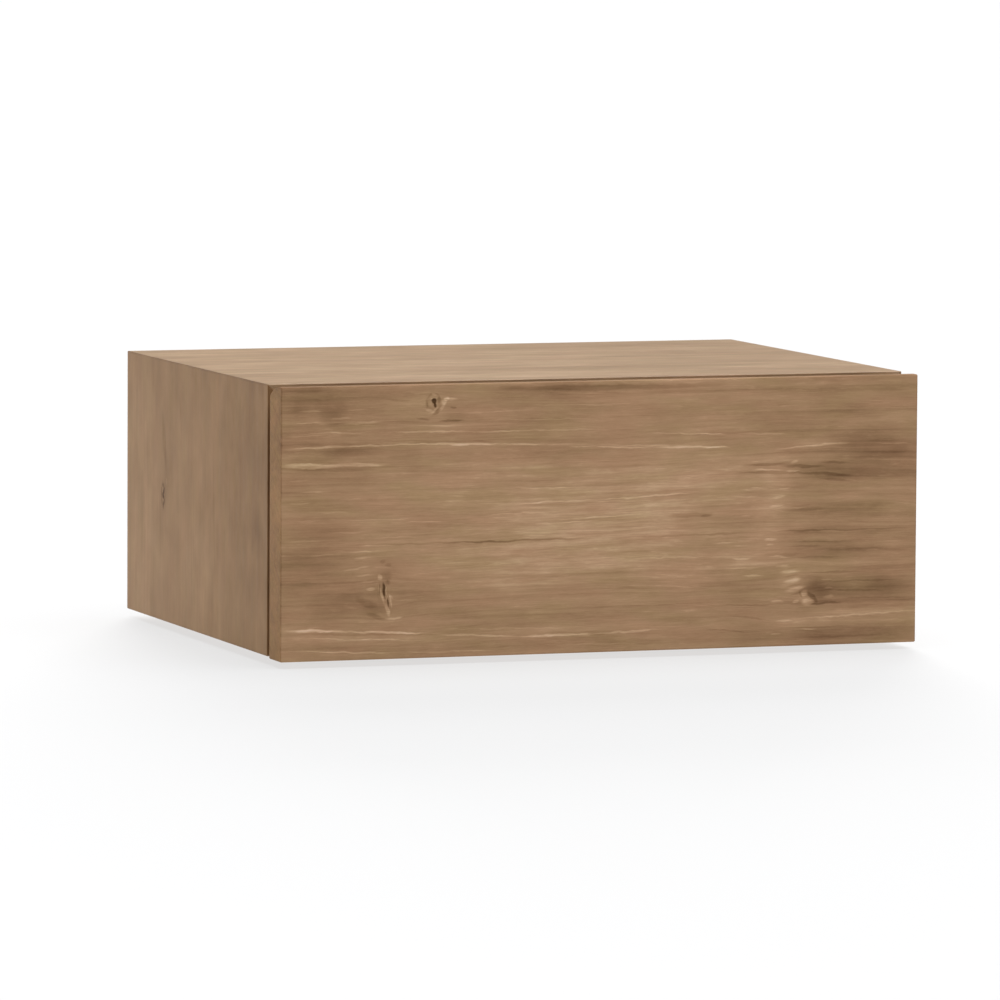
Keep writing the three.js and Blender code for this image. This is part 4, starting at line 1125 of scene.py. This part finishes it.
def plastic(name, colour, rough=0.48, grain=2.6):
    g = Graph(name)
    tc = g.add("ShaderNodeTexCoord")
    p = g.vmath("SCALE", tc.outputs["Object"], scale=1000.0)
    fine = g.noise(g.vmath("SCALE", p, scale=grain), detail=2.0, rough=0.6)
    flow = g.noise(g.vmath("MULTIPLY", p, (0.2, 0.05, 0.2)), detail=3.0)
    c = g.mix(g.step(flow, 0.35, 0.7), (*colour, 1), (*[min(1, x * 1.5 + 0.004) for x in colour], 1))
    r = g.plus(g.times(g.math("SUBTRACT", fine, 0.5), 0.22), g.times(flow, 0.1), rough - 0.05)
    return g.shader(c, r, bump=fine, distance=0.00006, strength=0.45)


def beech(name, grain=1):
    g = Graph(name)
    tc = g.add("ShaderNodeTexCoord")
    p = g.vmath("SCALE", tc.outputs["Object"], scale=1000.0)
    k = [1.6, 1.6, 1.6]
    k[grain] = 0.12
    fleck = g.noise(g.vmath("MULTIPLY", p, tuple(k)), detail=3.0, rough=0.6)
    cloud = g.noise(g.vmath("SCALE", p, scale=0.12), detail=2.0)
    v = g.plus(g.times(g.math("SUBTRACT", fleck, 0.5), 0.8), g.times(g.math("SUBTRACT", cloud, 0.5), 0.5), 0.5)
    c = g.ramp(v, [(0.2, (0.44, 0.26, 0.13)), (0.5, (0.64, 0.43, 0.25)), (0.8, (0.76, 0.57, 0.37))])
    r = g.madd(fleck, 0.2, 0.62)
    return g.shader(c, r, bump=fleck, distance=0.0002, strength=0.5)


def plywood(name):
    """Birch ply: face veneer along X, and thin crossed plies at the edges."""
    g = Graph(name)
    tc = g.add("ShaderNodeTexCoord")
    p = g.vmath("SCALE", tc.outputs["Object"], scale=1000.0)
    x, y, z = g.separate(p)
    big = g.noise(g.vmath("MULTIPLY", p, (0.004, 0.02, 0.02)), detail=2.0)
    fig = g.noise(g.combine(g.times(x, 0.012), g.madd(big, 6.0, g.times(y, 0.16)), 0.0), detail=3.0, rough=0.6)
    fine = g.noise(g.vmath("MULTIPLY", p, (0.09, 2.6, 1.0)), detail=2.0, rough=0.6)
    fleck = g.step(g.noise(g.vmath("MULTIPLY", p, (0.25, 1.8, 1.0)), detail=1.0), 0.66, 0.76)
    v = g.plus(
        g.times(g.math("SUBTRACT", fig, 0.5), 0.75),
        g.times(g.math("SUBTRACT", fine, 0.5), 0.35),
        g.times(fleck, -0.16),
        0.5,
    )
    c = g.ramp(v, [(0.15, (0.48, 0.31, 0.165)), (0.5, (0.66, 0.475, 0.285)), (0.85, (0.78, 0.61, 0.40))])
    nz = g.math("ABSOLUTE", g.separate(tc.outputs["Normal"])[2])
    side = g.step(nz, 0.3, 0.1)
    ply = g.math("FRACT", g.times(g.math("ADD", z, 44.0), 1.0))
    glue = g.step(g.math("ABSOLUTE", g.math("SUBTRACT", ply, 0.5)), 0.40, 0.48)
    odd = g.math("MODULO", g.math("FLOOR", g.math("ADD", z, 44.0)), 2.0)
    layer = g.mix(odd, (0.62, 0.45, 0.27, 1), (0.46, 0.30, 0.16, 1))
    layer = g.mix(glue, layer, (0.20, 0.11, 0.05, 1))
    c = g.mix(side, c, layer)
    r = g.plus(g.times(fine, 0.14), 0.52)
    return g.shader(c, r, bump=g.plus(fine, g.times(fig, 0.5)), distance=0.0001, strength=0.4)


def soft_clear(name):
    g = Graph(name)
    tc = g.add("ShaderNodeTexCoord")
    p = g.vmath("SCALE", tc.outputs["Object"], scale=1000.0)
    cloud = g.noise(g.vmath("SCALE", p, scale=0.5), detail=2.0)
    dust = g.step(g.noise(g.vmath("SCALE", p, scale=3.0), detail=3.0, rough=0.7), 0.60, 0.75)
    c = g.mix(cloud, (0.62, 0.62, 0.60, 1), (0.80, 0.80, 0.78, 1))
    c = g.mix(g.times(dust, 0.3), c, (0.45, 0.38, 0.30, 1))
    r = g.plus(0.22, g.times(dust, 0.25), g.times(cloud, 0.1))
    return g.shader(c, r, bump=cloud, distance=0.0001, strength=0.2, Transmission_Weight=0.45, IOR=1.43)


# ------------------------------------------------------------------ boards of the carcass
def knotty(*places):
    """Sound knots (along, across, half length, half height, lean): the fibres part round each, it
    has drunk more stain than the board, and its heart has split."""
    out = {"knots": [], "cracks": [], "stain_and_painted_light_patches": []}
    for i, (a, c, ra, rc, lean) in enumerate(places):
        out["knots"].append(
            {
                "at": (a, c),
                "swerve": (ra * 4.4, rc * 2.9),
                "push": 0.66,
                "core": (ra, rc),
                "angle": lean,
                "turns": 9.0 + 0.9 * ra,
                "ring": 0.06,
                "fill": -0.155,
                "heart": -0.06,
                "rim": -0.09,
            }
        )
        # one long check across the heart, and in a large knot a short one beside it
        t = (0.42, -0.95, 1.15)[i % 3]
        out["cracks"].append({"at": (a + 0.12 * ra, c - 0.08 * rc), "size": (rc * 0.62, 0.36), "angle": t, "by": 0.30})
        if ra > 6:
            out["cracks"].append(
                {"at": (a - 0.34 * ra, c + 0.30 * rc), "size": (rc * 0.24, 0.30), "angle": t + 0.35, "by": 0.24}
            )
        for way in (-1, 1):
            out["stain_and_painted_light_patches"].append({"at": (a + way * ra * 2.1, c + way * lean * ra), "size": (ra * 2.7, rc * 1.1), "angle": lean, "by": -0.085})
    return out


top_smudges = [
    {"at": (-95.0, -150.0), "size": (210.0, 190.0), "by": 0.055},
    {"at": (-40.0, -252.0), "size": (190.0, 40.0), "by": 0.05},
    {"at": (40.0, -40.0), "size": (230.0, 34.0), "by": -0.04},
    {"at": (-60.0, -118.0), "size": (110.0, 13.0), "by": -0.06},
    {"at": (60.0, -205.0), "size": (120.0, 16.0), "by": -0.05},
    {"at": (150.0, -120.0), "size": (80.0, 60.0), "by": -0.03},
]


def mm_box(node):
    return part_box(node)


# rim: painted shade that darkens each board's edge faces, for the gap behind the drawer front
wood = {
    # the top's raised tone and greyer tint are a painted sheen: the top is painted paler and greyer than the other
    # boards
    "top_panel": pine(
        "stained_pine_top", 0, 1, 2, 2.0, mm_box("top_panel"), centre=(-210.0, -120.0), spacing=3.3,
        wave=9.0, rings=1.45, fibre=1.15, blotch=1.1, lines=1.2, fleck=0.9, hues=0.5, tone=0.103, edge=-0.02, rim=-0.10,
        spec=0.75, rough=0.5, tint=(1.0, 1.06, 1.11), stain_and_painted_light_patches=top_smudges,
    ),
    "bottom_panel": pine(
        "stained_pine_bottom", 0, 1, 2, 3.0, mm_box("bottom_panel"), centre=(60.0, 70.0), spacing=3.6,
        wave=9.0, rings=1.0, fibre=0.95, blotch=0.95, lines=0.9, rim=-0.16,
        **knotty((88.0, -120.0, 11.0, 8.0, 0.2), (-104.0, -58.0, 5.0, 4.0, -0.4), (-36.0, -236.0, 8.0, 6.0, 0.1)),
    ),
    "left_side_panel": pine(
        "stained_pine_left", 2, 1, 0, 5.0, mm_box("left_side_panel"), centre=(-190.0, 130.0), spacing=3.4,
        wave=5.0, rings=0.30, fibre=0.33, blotch=0.34, lines=0.1, fleck=0.4, hues=0.35, tone=-0.014, edge=-0.08, band=1.3,
        rim=-0.16, mottle=0.34, drift=0.028, spec=0.12, tint=(1.0, 1.003, 0.965), fade=(-230.0, -20.0, (0.988, 1.0, 1.055)),
        knots=[{
            "at": on_left(163.4, 494), "swerve": (26.0, 14.0), "push": 0.55, "core": (10.5, 5.6), "turns": 13.0,
            "ring": 0.05, "fill": -0.035, "heart": -0.04, "rim": -0.06,
        }],
        light=left_marks_light, dark=left_marks_dark, stain_and_painted_light_patches=left_stain_and_painted_light_patches,
    ),
    "right_side_panel": pine(
        "stained_pine_right", 2, 1, 0, 8.0, mm_box("right_side_panel"), centre=(40.0, -85.0), spacing=3.3,
        wave=6.0, rings=0.9, fibre=0.85, blotch=0.85, lines=0.7, rim=-0.16, mottle=0.12,
        **knotty((26.0, -92.0, 9.0, 7.0, -0.2), (-44.0, -214.0, 4.5, 3.6, 0.3)),
    ),
    "back_panel": pine(
        "stained_pine_back", 0, 2, 1, 11.0, mm_box("back_panel"), centre=(-120.0, 80.0), spacing=3.5,
        wave=8.0, rings=1.0, fibre=0.95, blotch=0.95, lines=0.8,
        **knotty((38.0, -24.0, 10.0, 7.5, 0.25), (-112.0, -38.0, 5.0, 4.0, -0.3), (-18.0, 44.0, 4.0, 3.2, 0.1)),
    ),
}


def outer_edges(node, least=0.02):
    """Picks a board's long outside edges."""
    lo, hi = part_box(node)

    def pick(e):
        if e.calc_length() < least:
            return False
        on = 0
        mid = (e.verts[0].co + e.verts[1].co) / 2
        for i in range(3):
            if abs(mid[i] - lo[i]) < 2e-4 or abs(mid[i] - hi[i]) < 2e-4:
                on += 1
        return on >= 1

    return pick


refine("top_panel", wood["top_panel"], 0.0005, 3, outer_edges("top_panel"))
refine("bottom_panel", wood["bottom_panel"], 0.0005, 3, outer_edges("bottom_panel"))
refine("left_side_panel", wood["left_side_panel"], 0.0005, 3, outer_edges("left_side_panel"))
refine("right_side_panel", wood["right_side_panel"], 0.0005, 3, outer_edges("right_side_panel"))
refine("back_panel", wood["back_panel"], 0.0004, 2, outer_edges("back_panel"))

BEECH = beech("pressed_beech", 1)
BEECH_X = beech("beech_dowel", 0)
for n in sorted(nodes):
    if n.startswith("mitre_biscuit"):
        refine(n, BEECH, 0.0003, 1)
    if n.startswith("back_dowel"):
        refine(n, BEECH_X, 0.0006, 2, keep=lambda e: abs(e.verts[0].co.x - e.verts[1].co.x) < 1e-6)

# ------------------------------------------------------------------ drawer front
FRONT_MAT = pine(
    "stained_pine_front", 0, 2, 1, 0.0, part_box("drawer_front"), centre=(-190.0, 150.0), spacing=3.2,
    wave=6.0, rings=0.75, fibre=0.82, blotch=0.98, lines=0.45, fleck=0.75, hues=0.7, tone=0.014, endtone=-0.078,
    end_tint=(0.985, 0.88, 0.64), edge=-0.10, band=0.8, spec=0.15, tint=(1.0, 1.012, 1.045),
    knots=front_knots, light=front_light, dark=front_dark, cracks=front_cracks, stain_and_painted_light_patches=front_stain_and_painted_light_patches,
)
(fx0, fy0, fz0), (fx1, fy1, fz1) = [tuple(c * 1000 for c in p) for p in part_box("drawer_front")]
# fy0 is the visible face, fy1 the rear face
GRIP_D, GRIP_H, GRIP_P = 16.2, 6.3, 1.42  # the finger grip: depth, fall and fullness of its curve
grip = []
for i in range(17):
    t = math.pi / 2 * i / 16
    u, v = math.cos(t) ** (2 / GRIP_P), math.sin(t) ** (2 / GRIP_P)
    grip.append((fy1 - GRIP_D * (1 - u), fz1 - GRIP_H * (1 - v), 0.0, 0))
front_outline = rounded([(fy1, fz0, 0.9, 3)] + grip + [(fy0, fz1, 0.9, 4), (fy0, fz0, 0.9, 4)])


def lines_between(lo, hi, coarse, fine):
    """Sorted positions from lo to hi, closer together inside the fine ranges (centre, half, step)."""
    out = set()
    n = max(1, int(round((hi - lo) / coarse)))
    for i in range(n + 1):
        x = lo + (hi - lo) * i / n
        if all(abs(x - c) > h for c, h, _ in fine):
            out.add(round(x, 4))
    for c, h, s in fine:
        k = int(h / s)
        for i in range(-k, k + 1):
            x = c + i * s
            if lo < x < hi:
                out.add(round(x, 4))
    out = sorted(out)
    kept = [out[0]]
    for x in out[1:]:
        if x - kept[-1] > 0.2:
            kept.append(x)
    return kept


xs = lines_between(
    fx0, fx1, 4.0, [(KNOT_A[0], 7.0, 0.45), (KNOT_B[0], 6.0, 0.40), (KNOT_C[0] + 2.0, 14.0, 0.8)]
)
zs = lines_between(
    fz0 + 2.0, fz1 - 2.0, 3.5, [(KNOT_A[1], 6.0, 0.45), (KNOT_B[1], 15.0, 0.6), (KNOT_C[1], 14.0, 0.8)]
)
# the visible face gets its own rows: between the last point of the top arc and the first of the bottom one
split = next(i for i, (a, b) in enumerate(zip(front_outline, front_outline[1:])) if abs(a[0] - fy0) < 1e-6 and abs(b[0] - fy0) < 1e-6 and a[1] > b[1] + 50)
front_outline = front_outline[: split + 1] + [(fy0, z) for z in reversed(zs)] + front_outline[split + 1 :]
board = loft(
    "drawer_front_made", front_outline, xs if xs[0] == fx0 else [fx0] + xs,
    lambda u, v, w: (w * MM, u * MM, v * MM), [FRONT_MAT], ease=0.8, steps=4,
)


def relief(x, z):
    """How far the visible face lies behind flat, in mm: hand-sanded unevenness, sunken checks in the knots."""
    d = 0.035 * (math.sin(x * 0.031 + 1.3) * math.cos(z * 0.047) + 0.6 * math.sin(x * 0.013 - z * 0.09)) + 0.035
    for c in front_cracks:
        ca, sa = math.cos(c["angle"]), math.sin(c["angle"])
        dx, dz = x - c["at"][0], z - c["at"][1]
        u, v = (dx * ca + dz * sa) / c["size"][0], (-dx * sa + dz * ca) / c["size"][1]
        r = math.hypot(u, v)
        if r < 1:
            d += 1.6 * c["by"] * (1 - r) ** 0.7
    for (kx, kz), (sx, sz) in ((KNOT_A, (5.5, 6.0)), (KNOT_B, (4.0, 13.5))):
        r = math.hypot((x - kx) / sx, (z - kz) / sz)
        if r < 1.4:
            d += 0.10 * math.exp(-(((r - 1.0) / 0.16) ** 2)) - 0.05 * math.exp(-((r / 0.7) ** 2))
    return d


edge_fade = 3.0
for v in board.data.vertices:
    x, y, z = v.co.x * 1000, v.co.y * 1000, v.co.z * 1000
    if abs(y - fy0) < 1e-3:
        m = min(x - fx0, fx1 - x, z - fz0, fz1 - z)
        k = max(0.0, min(1.0, (m - 1.0) / edge_fade))
        v.co.y += relief(x, z) * k * MM
carve(
    board,
    [
        cutter_rod(1, (sx * 110, fy1 - 7.9 + 0.2, z), 2.3, 16.2, 20)
        for sx in (-1, 1)
        for z in (24, -20)
    ],
)
finish_mesh(board, 32.0)
stands_for(board, "drawer_front")

# ------------------------------------------------------------------ drawer box
box_wood = {}
for n, (gr, fa, th, seed, ctr) in {
    "drawer_side_left": (1, 2, 0, 21.0, (-60.0, 60.0)),
    "drawer_side_right": (1, 2, 0, 23.0, (70.0, -60.0)),
    "drawer_box_front": (0, 2, 1, 25.0, (-80.0, 70.0)),
    "drawer_box_back": (0, 2, 1, 27.0, (30.0, 65.0)),
}.items():
    box_wood[n] = pine(
        "clear_pine_" + n, gr, fa, th, seed, mm_box(n), stops=CLEAR, centre=ctr, spacing=3.0,
        wave=5.0, rings=1.35, fibre=0.6, blotch=0.4, lines=0.3, tone=0.14, rough=0.42, edge=-0.05,
    )
    refine(n, box_wood[n], 0.00025, 2, keep=lambda e: e.calc_length() > 0.006, angle=50)
refine("drawer_bottom", plywood("birch_plywood"), 0.0003, 2)

# ------------------------------------------------------------------ slides
ZINC = zinc("zinc_slide", 1)
ZINC_B = zinc("zinc_cage", 1, rough=0.26, seed=40.0)
ZINC_PLATE = zinc("zinc_hanger", 0, rough=0.36, seed=90.0)
BALL = zinc("ball_steel", 1, rough=0.14, seed=15.0)
YELLOW = zinc("yellow_zinc_screw", 1, tint=(1.12, 0.94, 0.62), rough=0.30, seed=7.0)
BLACK = plastic("black_plastic", (0.013, 0.013, 0.014))
CLEARSOFT = soft_clear("soft_buffer")

INNER = 182.0
SLIDE_Z = -6.0
SLIDE_Y = -282.0
SLIDE_T = 12.7


def member(name, node, half, u0, u1, side, holes=(), material=None):
    """A rolled sheet section: half is the outline above the middle line, as (s, z, radius, segments)."""
    full = [p for p in half] + [(s, -z, r, k) for s, z, r, k in reversed(half)]
    out = rounded(full)
    place = lambda u, v, w: (side * (INNER - u) * MM, w * MM, (SLIDE_Z + v) * MM)
    obj = loft(name, out, [SLIDE_Y + u0, SLIDE_Y + u1], place, [material or ZINC], ease=0.15, steps=1, shade=30)
    if holes:
        carve(obj, [cutter_rod(0, (side * (INNER - s), SLIDE_Y + u, SLIDE_Z + z), r, 8.0, 24, slot) for s, u, z, r, slot in holes])
        finish_mesh(obj, 30)
    return stands_for(obj, node)


for side, sx in SIDES:
    member(
        f"cabinet_member_{side}_made",
        f"cabinet_member_{side}",
        [
            (0.0, 22.8, 1.9, 5),
            (9.8, 22.8, 1.5, 5),
            (9.8, 20.4, 0.35, 2),
            (8.6, 20.4, 0.35, 2),
            (8.6, 21.6, 0.5, 3),
            (1.2, 21.6, 0.8, 3),
        ],
        0,
        250,
        sx,
        [(0.6, 18, 0, 2.1, 0), (0.6, 232, 0, 2.1, 0)]
        + [(0.6, u, z, 2.2, 4.0) for u in (40, 122, 206) for z in (0,)]
        + [(0.6, u, z, 1.6, 0) for u in (64, 150) for z in (9, -9)],
    )
    member(
        f"middle_member_{side}_made",
        f"middle_member_{side}",
        [
            (2.4, 18.0, 1.6, 5),
            (10.6, 18.0, 1.3, 5),
            (10.6, 15.4, 0.35, 2),
            (9.5, 15.4, 0.35, 2),
            (9.5, 16.8, 0.5, 3),
            (3.6, 16.8, 0.7, 3),
        ],
        2,
        242,
        sx,
        [(3.0, 143, 0, 5.0, 0), (3.0, 30, 0, 5.0, 0), (3.0, 84, 0, 3.0, 10.0), (3.0, 200, 0, 3.0, 10.0)],
    )
    member(
        f"drawer_member_{side}_made",
        f"drawer_member_{side}",
        [
            (12.7, 13.2, 1.6, 5),
            (5.4, 13.2, 0.45, 3),
            (5.4, 12.0, 0.35, 2),
            (11.5, 12.0, 0.6, 3),
        ][::-1],
        0,
        250,
        sx,
        [(12.1, 26, 0, 2.1, 0), (12.1, 226, 0, 2.1, 0)]
        + [(12.1, u, 0, 2.2, 4.0) for u in (52, 118)]
        + [(12.1, u, 6, 1.6, 0) for u in (84, 148)],
    )

    # cages: a strip with a row of windows along each edge, and the balls that sit in them
    for kind, u0, half, bs, bz in (
        ("outer", 66, [(1.5, 20.1, 0.8, 3), (8.2, 20.1, 0.2, 1), (8.2, 19.5, 0.2, 1), (2.1, 19.5, 0.4, 3)], 5.4, 19.8),
        ("inner", 70, [(3.9, 15.3, 0.8, 3), (9.2, 15.3, 0.2, 1), (9.2, 14.7, 0.2, 1), (4.5, 14.7, 0.4, 3)], 7.2, 15.0),
    ):
        name = f"{kind}_ball_cage_{side}"
        full = half + [(s, -z, r, k) for s, z, r, k in reversed(half)]
        place = lambda u, v, w, sx=sx: (sx * (INNER - u) * MM, w * MM, (SLIDE_Z + v) * MM)
        strip = loft(name + "_made", rounded(full), [SLIDE_Y + u0, SLIDE_Y + u0 + 110], place, [ZINC_B, BALL], ease=0.1, steps=1, shade=30)
        web = half[0][0] + 0.3
        carve(strip, [cutter_rod(0, (sx * (INNER - web), SLIDE_Y + u0 + q, SLIDE_Z), 5.5, 6.0, 24, 14.0) for q in (22, 55, 88)])
        bm = bmesh.new()
        bm.from_mesh(strip.data)
        for i in range(10):
            for sign in (1, -1):
                made = bmesh.ops.create_uvsphere(bm, u_segments=16, v_segments=10, radius=1.5 * MM)
                bmesh.ops.translate(
                    bm,
                    verts=made["verts"],
                    vec=(sx * (INNER - bs) * MM, (SLIDE_Y + u0 + 5.5 + 11 * i) * MM, (SLIDE_Z + sign * bz) * MM),
                )
                for f in {f for v in made["verts"] for f in v.link_faces}:
                    f.material_index = 1
        bm.to_mesh(strip.data)
        bm.free()
        strip.data.materials.clear()
        strip.data.materials.append(ZINC_B)
        strip.data.materials.append(BALL)
        finish_mesh(strip, 30, weighted=False)
        stands_for(strip, name)

    refine(f"release_lever_{side}", BLACK, 0.0004, 3, keep=lambda e: e.calc_length() > 0.0018)

# ------------------------------------------------------------------ screws, rivets, buffers
def screw_mesh(name, radius, length, material):
    """Countersunk, cross-recessed, threaded. Head face at local y = 0, point at y = -length."""
    head, drop, pitch, cols = 3.4, 2.2, 1.55, 24
    outline = [
        (head - 0.35, 0.0), (head - 0.08, 0.12), (head, 0.35), (radius + 0.25, drop - 0.05), (radius - 0.15, drop + 0.5),
        (radius - 0.25, length - 4.2), (radius * 0.55, length - 2.0), (0.12, length - 0.05),
    ]
    depths = [d for _, d in outline[:5]]
    n = int(math.ceil((length - 0.5 - depths[-1]) / (pitch / 8)))
    depths += [depths[4] + (length - 0.5 - depths[4]) * i / n for i in range(1, n + 1)] + [length - 0.05]
    start, stop = drop + 1.0, length - 1.1

    def ridge(d, t):
        """The thread's height above the shank, a right-hand ridge that runs out at both ends."""
        fade = min(1.0, max(0.0, (d - start) / 0.9)) * min(1.0, max(0.0, (stop - d) / 1.1 + 0.1))
        off = abs(((start - d) / pitch + t / (2 * math.pi)) % 1.0 - 0.5) * pitch
        return 0.36 * fade * max(0.0, 1 - max(0.0, off - 0.04) / 0.33)

    bm = bmesh.new()
    rows = []
    for d in depths:
        r = float(np.interp(d, [q for _, q in outline], [q for q, _ in outline]))
        row = []
        for i in range(cols):
            t = 2 * math.pi * (i + 0.5) / cols
            rr = r + ridge(d, t)
            row.append(bm.verts.new((rr * math.cos(t) * MM, -d * MM, rr * math.sin(t) * MM)))
        rows.append(row)
    top, tip = bm.verts.new((0, 0, 0)), bm.verts.new((0, -length * MM, 0))
    for u, v in zip(rows, rows[1:]):
        for i in range(cols):
            j = (i + 1) % cols
            bm.faces.new((u[i], u[j], v[j], v[i]))
    for i in range(cols):
        j = (i + 1) % cols
        bm.faces.new((top, rows[0][j], rows[0][i]))
        bm.faces.new((tip, rows[-1][i], rows[-1][j]))
    bmesh.ops.recalc_face_normals(bm, faces=bm.faces[:])
    body = new_object(name, bm, [material])
    # cross recess: a plus-shaped plug that tapers
    bm = bmesh.new()
    rings = []
    for w, l, y in ((0.50, 2.05, 0.2), (0.26, 0.55, -1.9)):
        plus = [(w, l), (-w, l), (-w, w), (-l, w), (-l, -w), (-w, -w), (-w, -l), (w, -l), (w, -w), (l, -w), (l, w), (w, w)]
        rings.append([bm.verts.new((u * MM, y * MM, v * MM)) for u, v in plus])
    for ring in rings:
        bm.faces.new(ring)
    for i in range(12):
        j = (i + 1) % 12
        bm.faces.new((rings[0][i], rings[0][j], rings[1][j], rings[1][i]))
    bmesh.ops.recalc_face_normals(bm, faces=bm.faces[:])
    carve(body, [new_object("cutter", bm, [])])
    body.data.materials.clear()
    body.data.materials.append(material)
    finish_mesh(body, 35, weighted=False)
    return body


TURN = {
    "-Y": Matrix.Identity(4),
    "-X": Matrix.Rotation(-math.pi / 2, 4, "Z"),
    "+X": Matrix.Rotation(math.pi / 2, 4, "Z"),
}


def put_screw(master, node, at, way):
    obj = master.copy()
    obj.data = master.data
    obj.name = node + "_made"
    bpy.context.scene.collection.objects.link(obj)
    obj.matrix_world = Matrix.Translation(Vector(at) * MM) @ TURN[way]
    stands_for(obj, node)


masters = {
    "cabinet": screw_mesh("screw_cabinet", 1.75, 15, YELLOW),
    "drawer": screw_mesh("screw_drawer", 1.75, 11.5, YELLOW),
    "front": screw_mesh("screw_front", 2.0, 27, YELLOW),
    "hanger": screw_mesh("screw_hanger", 1.75, 13, YELLOW),
}
for side, sx in SIDES:
    for end, uc, ud in (("front", 18, 26), ("rear", 232, 226)):
        put_screw(
            masters["cabinet"], f"cabinet_member_screw_{side}_{end}",
            (sx * (INNER - 1.2), SLIDE_Y + uc, SLIDE_Z), "-X" if sx < 0 else "+X",
        )
        put_screw(
            masters["drawer"], f"drawer_member_screw_{side}_{end}",
            (sx * (INNER - SLIDE_T + 1.2), SLIDE_Y + ud, SLIDE_Z), "+X" if sx < 0 else "-X",
        )
    for level, z in (("upper", 24), ("lower", -20)):
        put_screw(masters["front"], f"drawer_front_screw_{level}_{side}", (sx * 110, -288 + 12, z), "-Y")
    for where, d in (("outer", sx * 22), ("inner", -sx * 22)):
        put_screw(masters["hanger"], f"hanger_screw_{side}_{where}", (sx * 130 + d, 0, 34), "-Y")

    # rivet: flanged, closed over the lever
    rivet = lathe(
        f"lever_rivet_{side}_made",
        [(0, 0.02), (1.9, 0.02), (2.0, 0.15), (2.0, 5.0), (3.1, 5.0), (3.3, 5.15), (3.25, 5.45), (2.7, 5.85), (1.5, 6.0), (1.1, 5.8), (0.8, 5.3), (0, 5.2)],
        32, [ZINC_B],
    )
    rivet.matrix_world = Matrix.Translation(
        Vector((sx * (INNER - SLIDE_T + 1.2), SLIDE_Y + 205, SLIDE_Z)) * MM
    ) @ Matrix.Rotation(math.pi / 2 if sx < 0 else -math.pi / 2, 4, "Z")
    stands_for(rivet, f"lever_rivet_{side}")

    buffer = lathe(
        f"drawer_buffer_{side}_made",
        [(0, 0.0), (4.3, 0.0), (4.5, 0.2), (4.5, 1.5)]
        + [(4.5 * math.cos(t) ** 0.8, 1.5 + 2.2 * math.sin(t)) for t in (0.25, 0.5, 0.75, 1.0, 1.2, 1.4)]
        + [(0, 3.7)],
        40, [CLEARSOFT],
    )
    buffer.matrix_world = Matrix.Translation(Vector((sx * 191, -288, 50)) * MM)
    stands_for(buffer, f"drawer_buffer_{side}")
    refine(f"keyhole_hanger_{side}", ZINC_PLATE, 0.0003, 2, angle=40)
for m in masters.values():
    bpy.data.objects.remove(m)

# ------------------------------------------------------------------ stage and light
# A pale table lit from within, so that the shadow under the part stays faint.
FLOOR_Z = -0.081 - 0.004
bm = bmesh.new()
s = 60.0
bm.faces.new([bm.verts.new((x, y, FLOOR_Z)) for x, y in ((-s, -s), (s, -s), (s, s), (-s, s))])
g = Graph("floor")
tc = g.add("ShaderNodeTexCoord")
soft = g.noise(g.vmath("SCALE", tc.outputs["Object"], scale=0.8), detail=2.0)
floor_mat = g.shader(
    g.mix(soft, (0.164, 0.164, 0.165, 1), (0.174, 0.174, 0.175, 1)), 0.9, Specular_IOR_Level=0.0,
    Emission_Color=(0.999, 1.0, 1.001, 1), Emission_Strength=0.672,
)
floor = new_object("floor", bm, [floor_mat])

lamps = {}
for name, energy, spread, way in (
    ("overhead_panel", 3.35, 75, (0.12, -0.07, 1.0)),
    ("rear_panel_low", 10.6, 26, (0.313, 0.940, 0.139)),
    ("rear_panel_high", 3.0, 36, (0.289, 0.867, 0.407)),
):
    lamp = bpy.data.lights.new(name, "SUN")
    lamp.energy = energy
    lamp.angle = math.radians(spread)
    obj = bpy.data.objects.new(name, lamp)
    bpy.context.scene.collection.objects.link(obj)
    obj.rotation_euler = Vector(way).to_track_quat("Z", "Y").to_euler()
    lamps[name] = obj
# the rear panels only wash over the table, where they draw the soft shadow forward
wash = bpy.data.collections.new("table_only")
wash.objects.link(floor)
for name in ("rear_panel_low", "rear_panel_high"):
    lamps[name].light_linking.receiver_collection = wash

world = bpy.data.worlds.new("studio")
bpy.context.scene.world = world
world.use_nodes = True
wt = world.node_tree
wt.nodes.clear()
w_out = wt.nodes.new("ShaderNodeOutputWorld")
w_bg = wt.nodes.new("ShaderNodeBackground")
w_bg.inputs["Color"].default_value = (1, 1, 1, 1)
wt.links.new(w_bg.outputs[0], w_out.inputs["Surface"])
# bright low down all round, dim above, where the overhead panel takes over
w_tc = wt.nodes.new("ShaderNodeTexCoord")
w_xyz = wt.nodes.new("ShaderNodeSeparateXYZ")
wt.links.new(w_tc.outputs["Generated"], w_xyz.inputs[0])
w_map = wt.nodes.new("ShaderNodeMapRange")
w_map.interpolation_type = "SMOOTHSTEP"
for i, v in ((1, 0.05), (2, 0.34), (3, 0.86), (4, 0.07)):
    w_map.inputs[i].default_value = v
wt.links.new(w_xyz.outputs[2], w_map.inputs[0])
wt.links.new(w_map.outputs[0], w_bg.inputs["Strength"])

scene = bpy.context.scene
scene.view_settings.view_transform = "Standard"
scene.view_settings.look = "None"
scene.view_settings.exposure = 0.0
scene.view_settings.gamma = 1.0

# ------------------------------------------------------------------ update the scene, then done
bpy.context.view_layer.update()
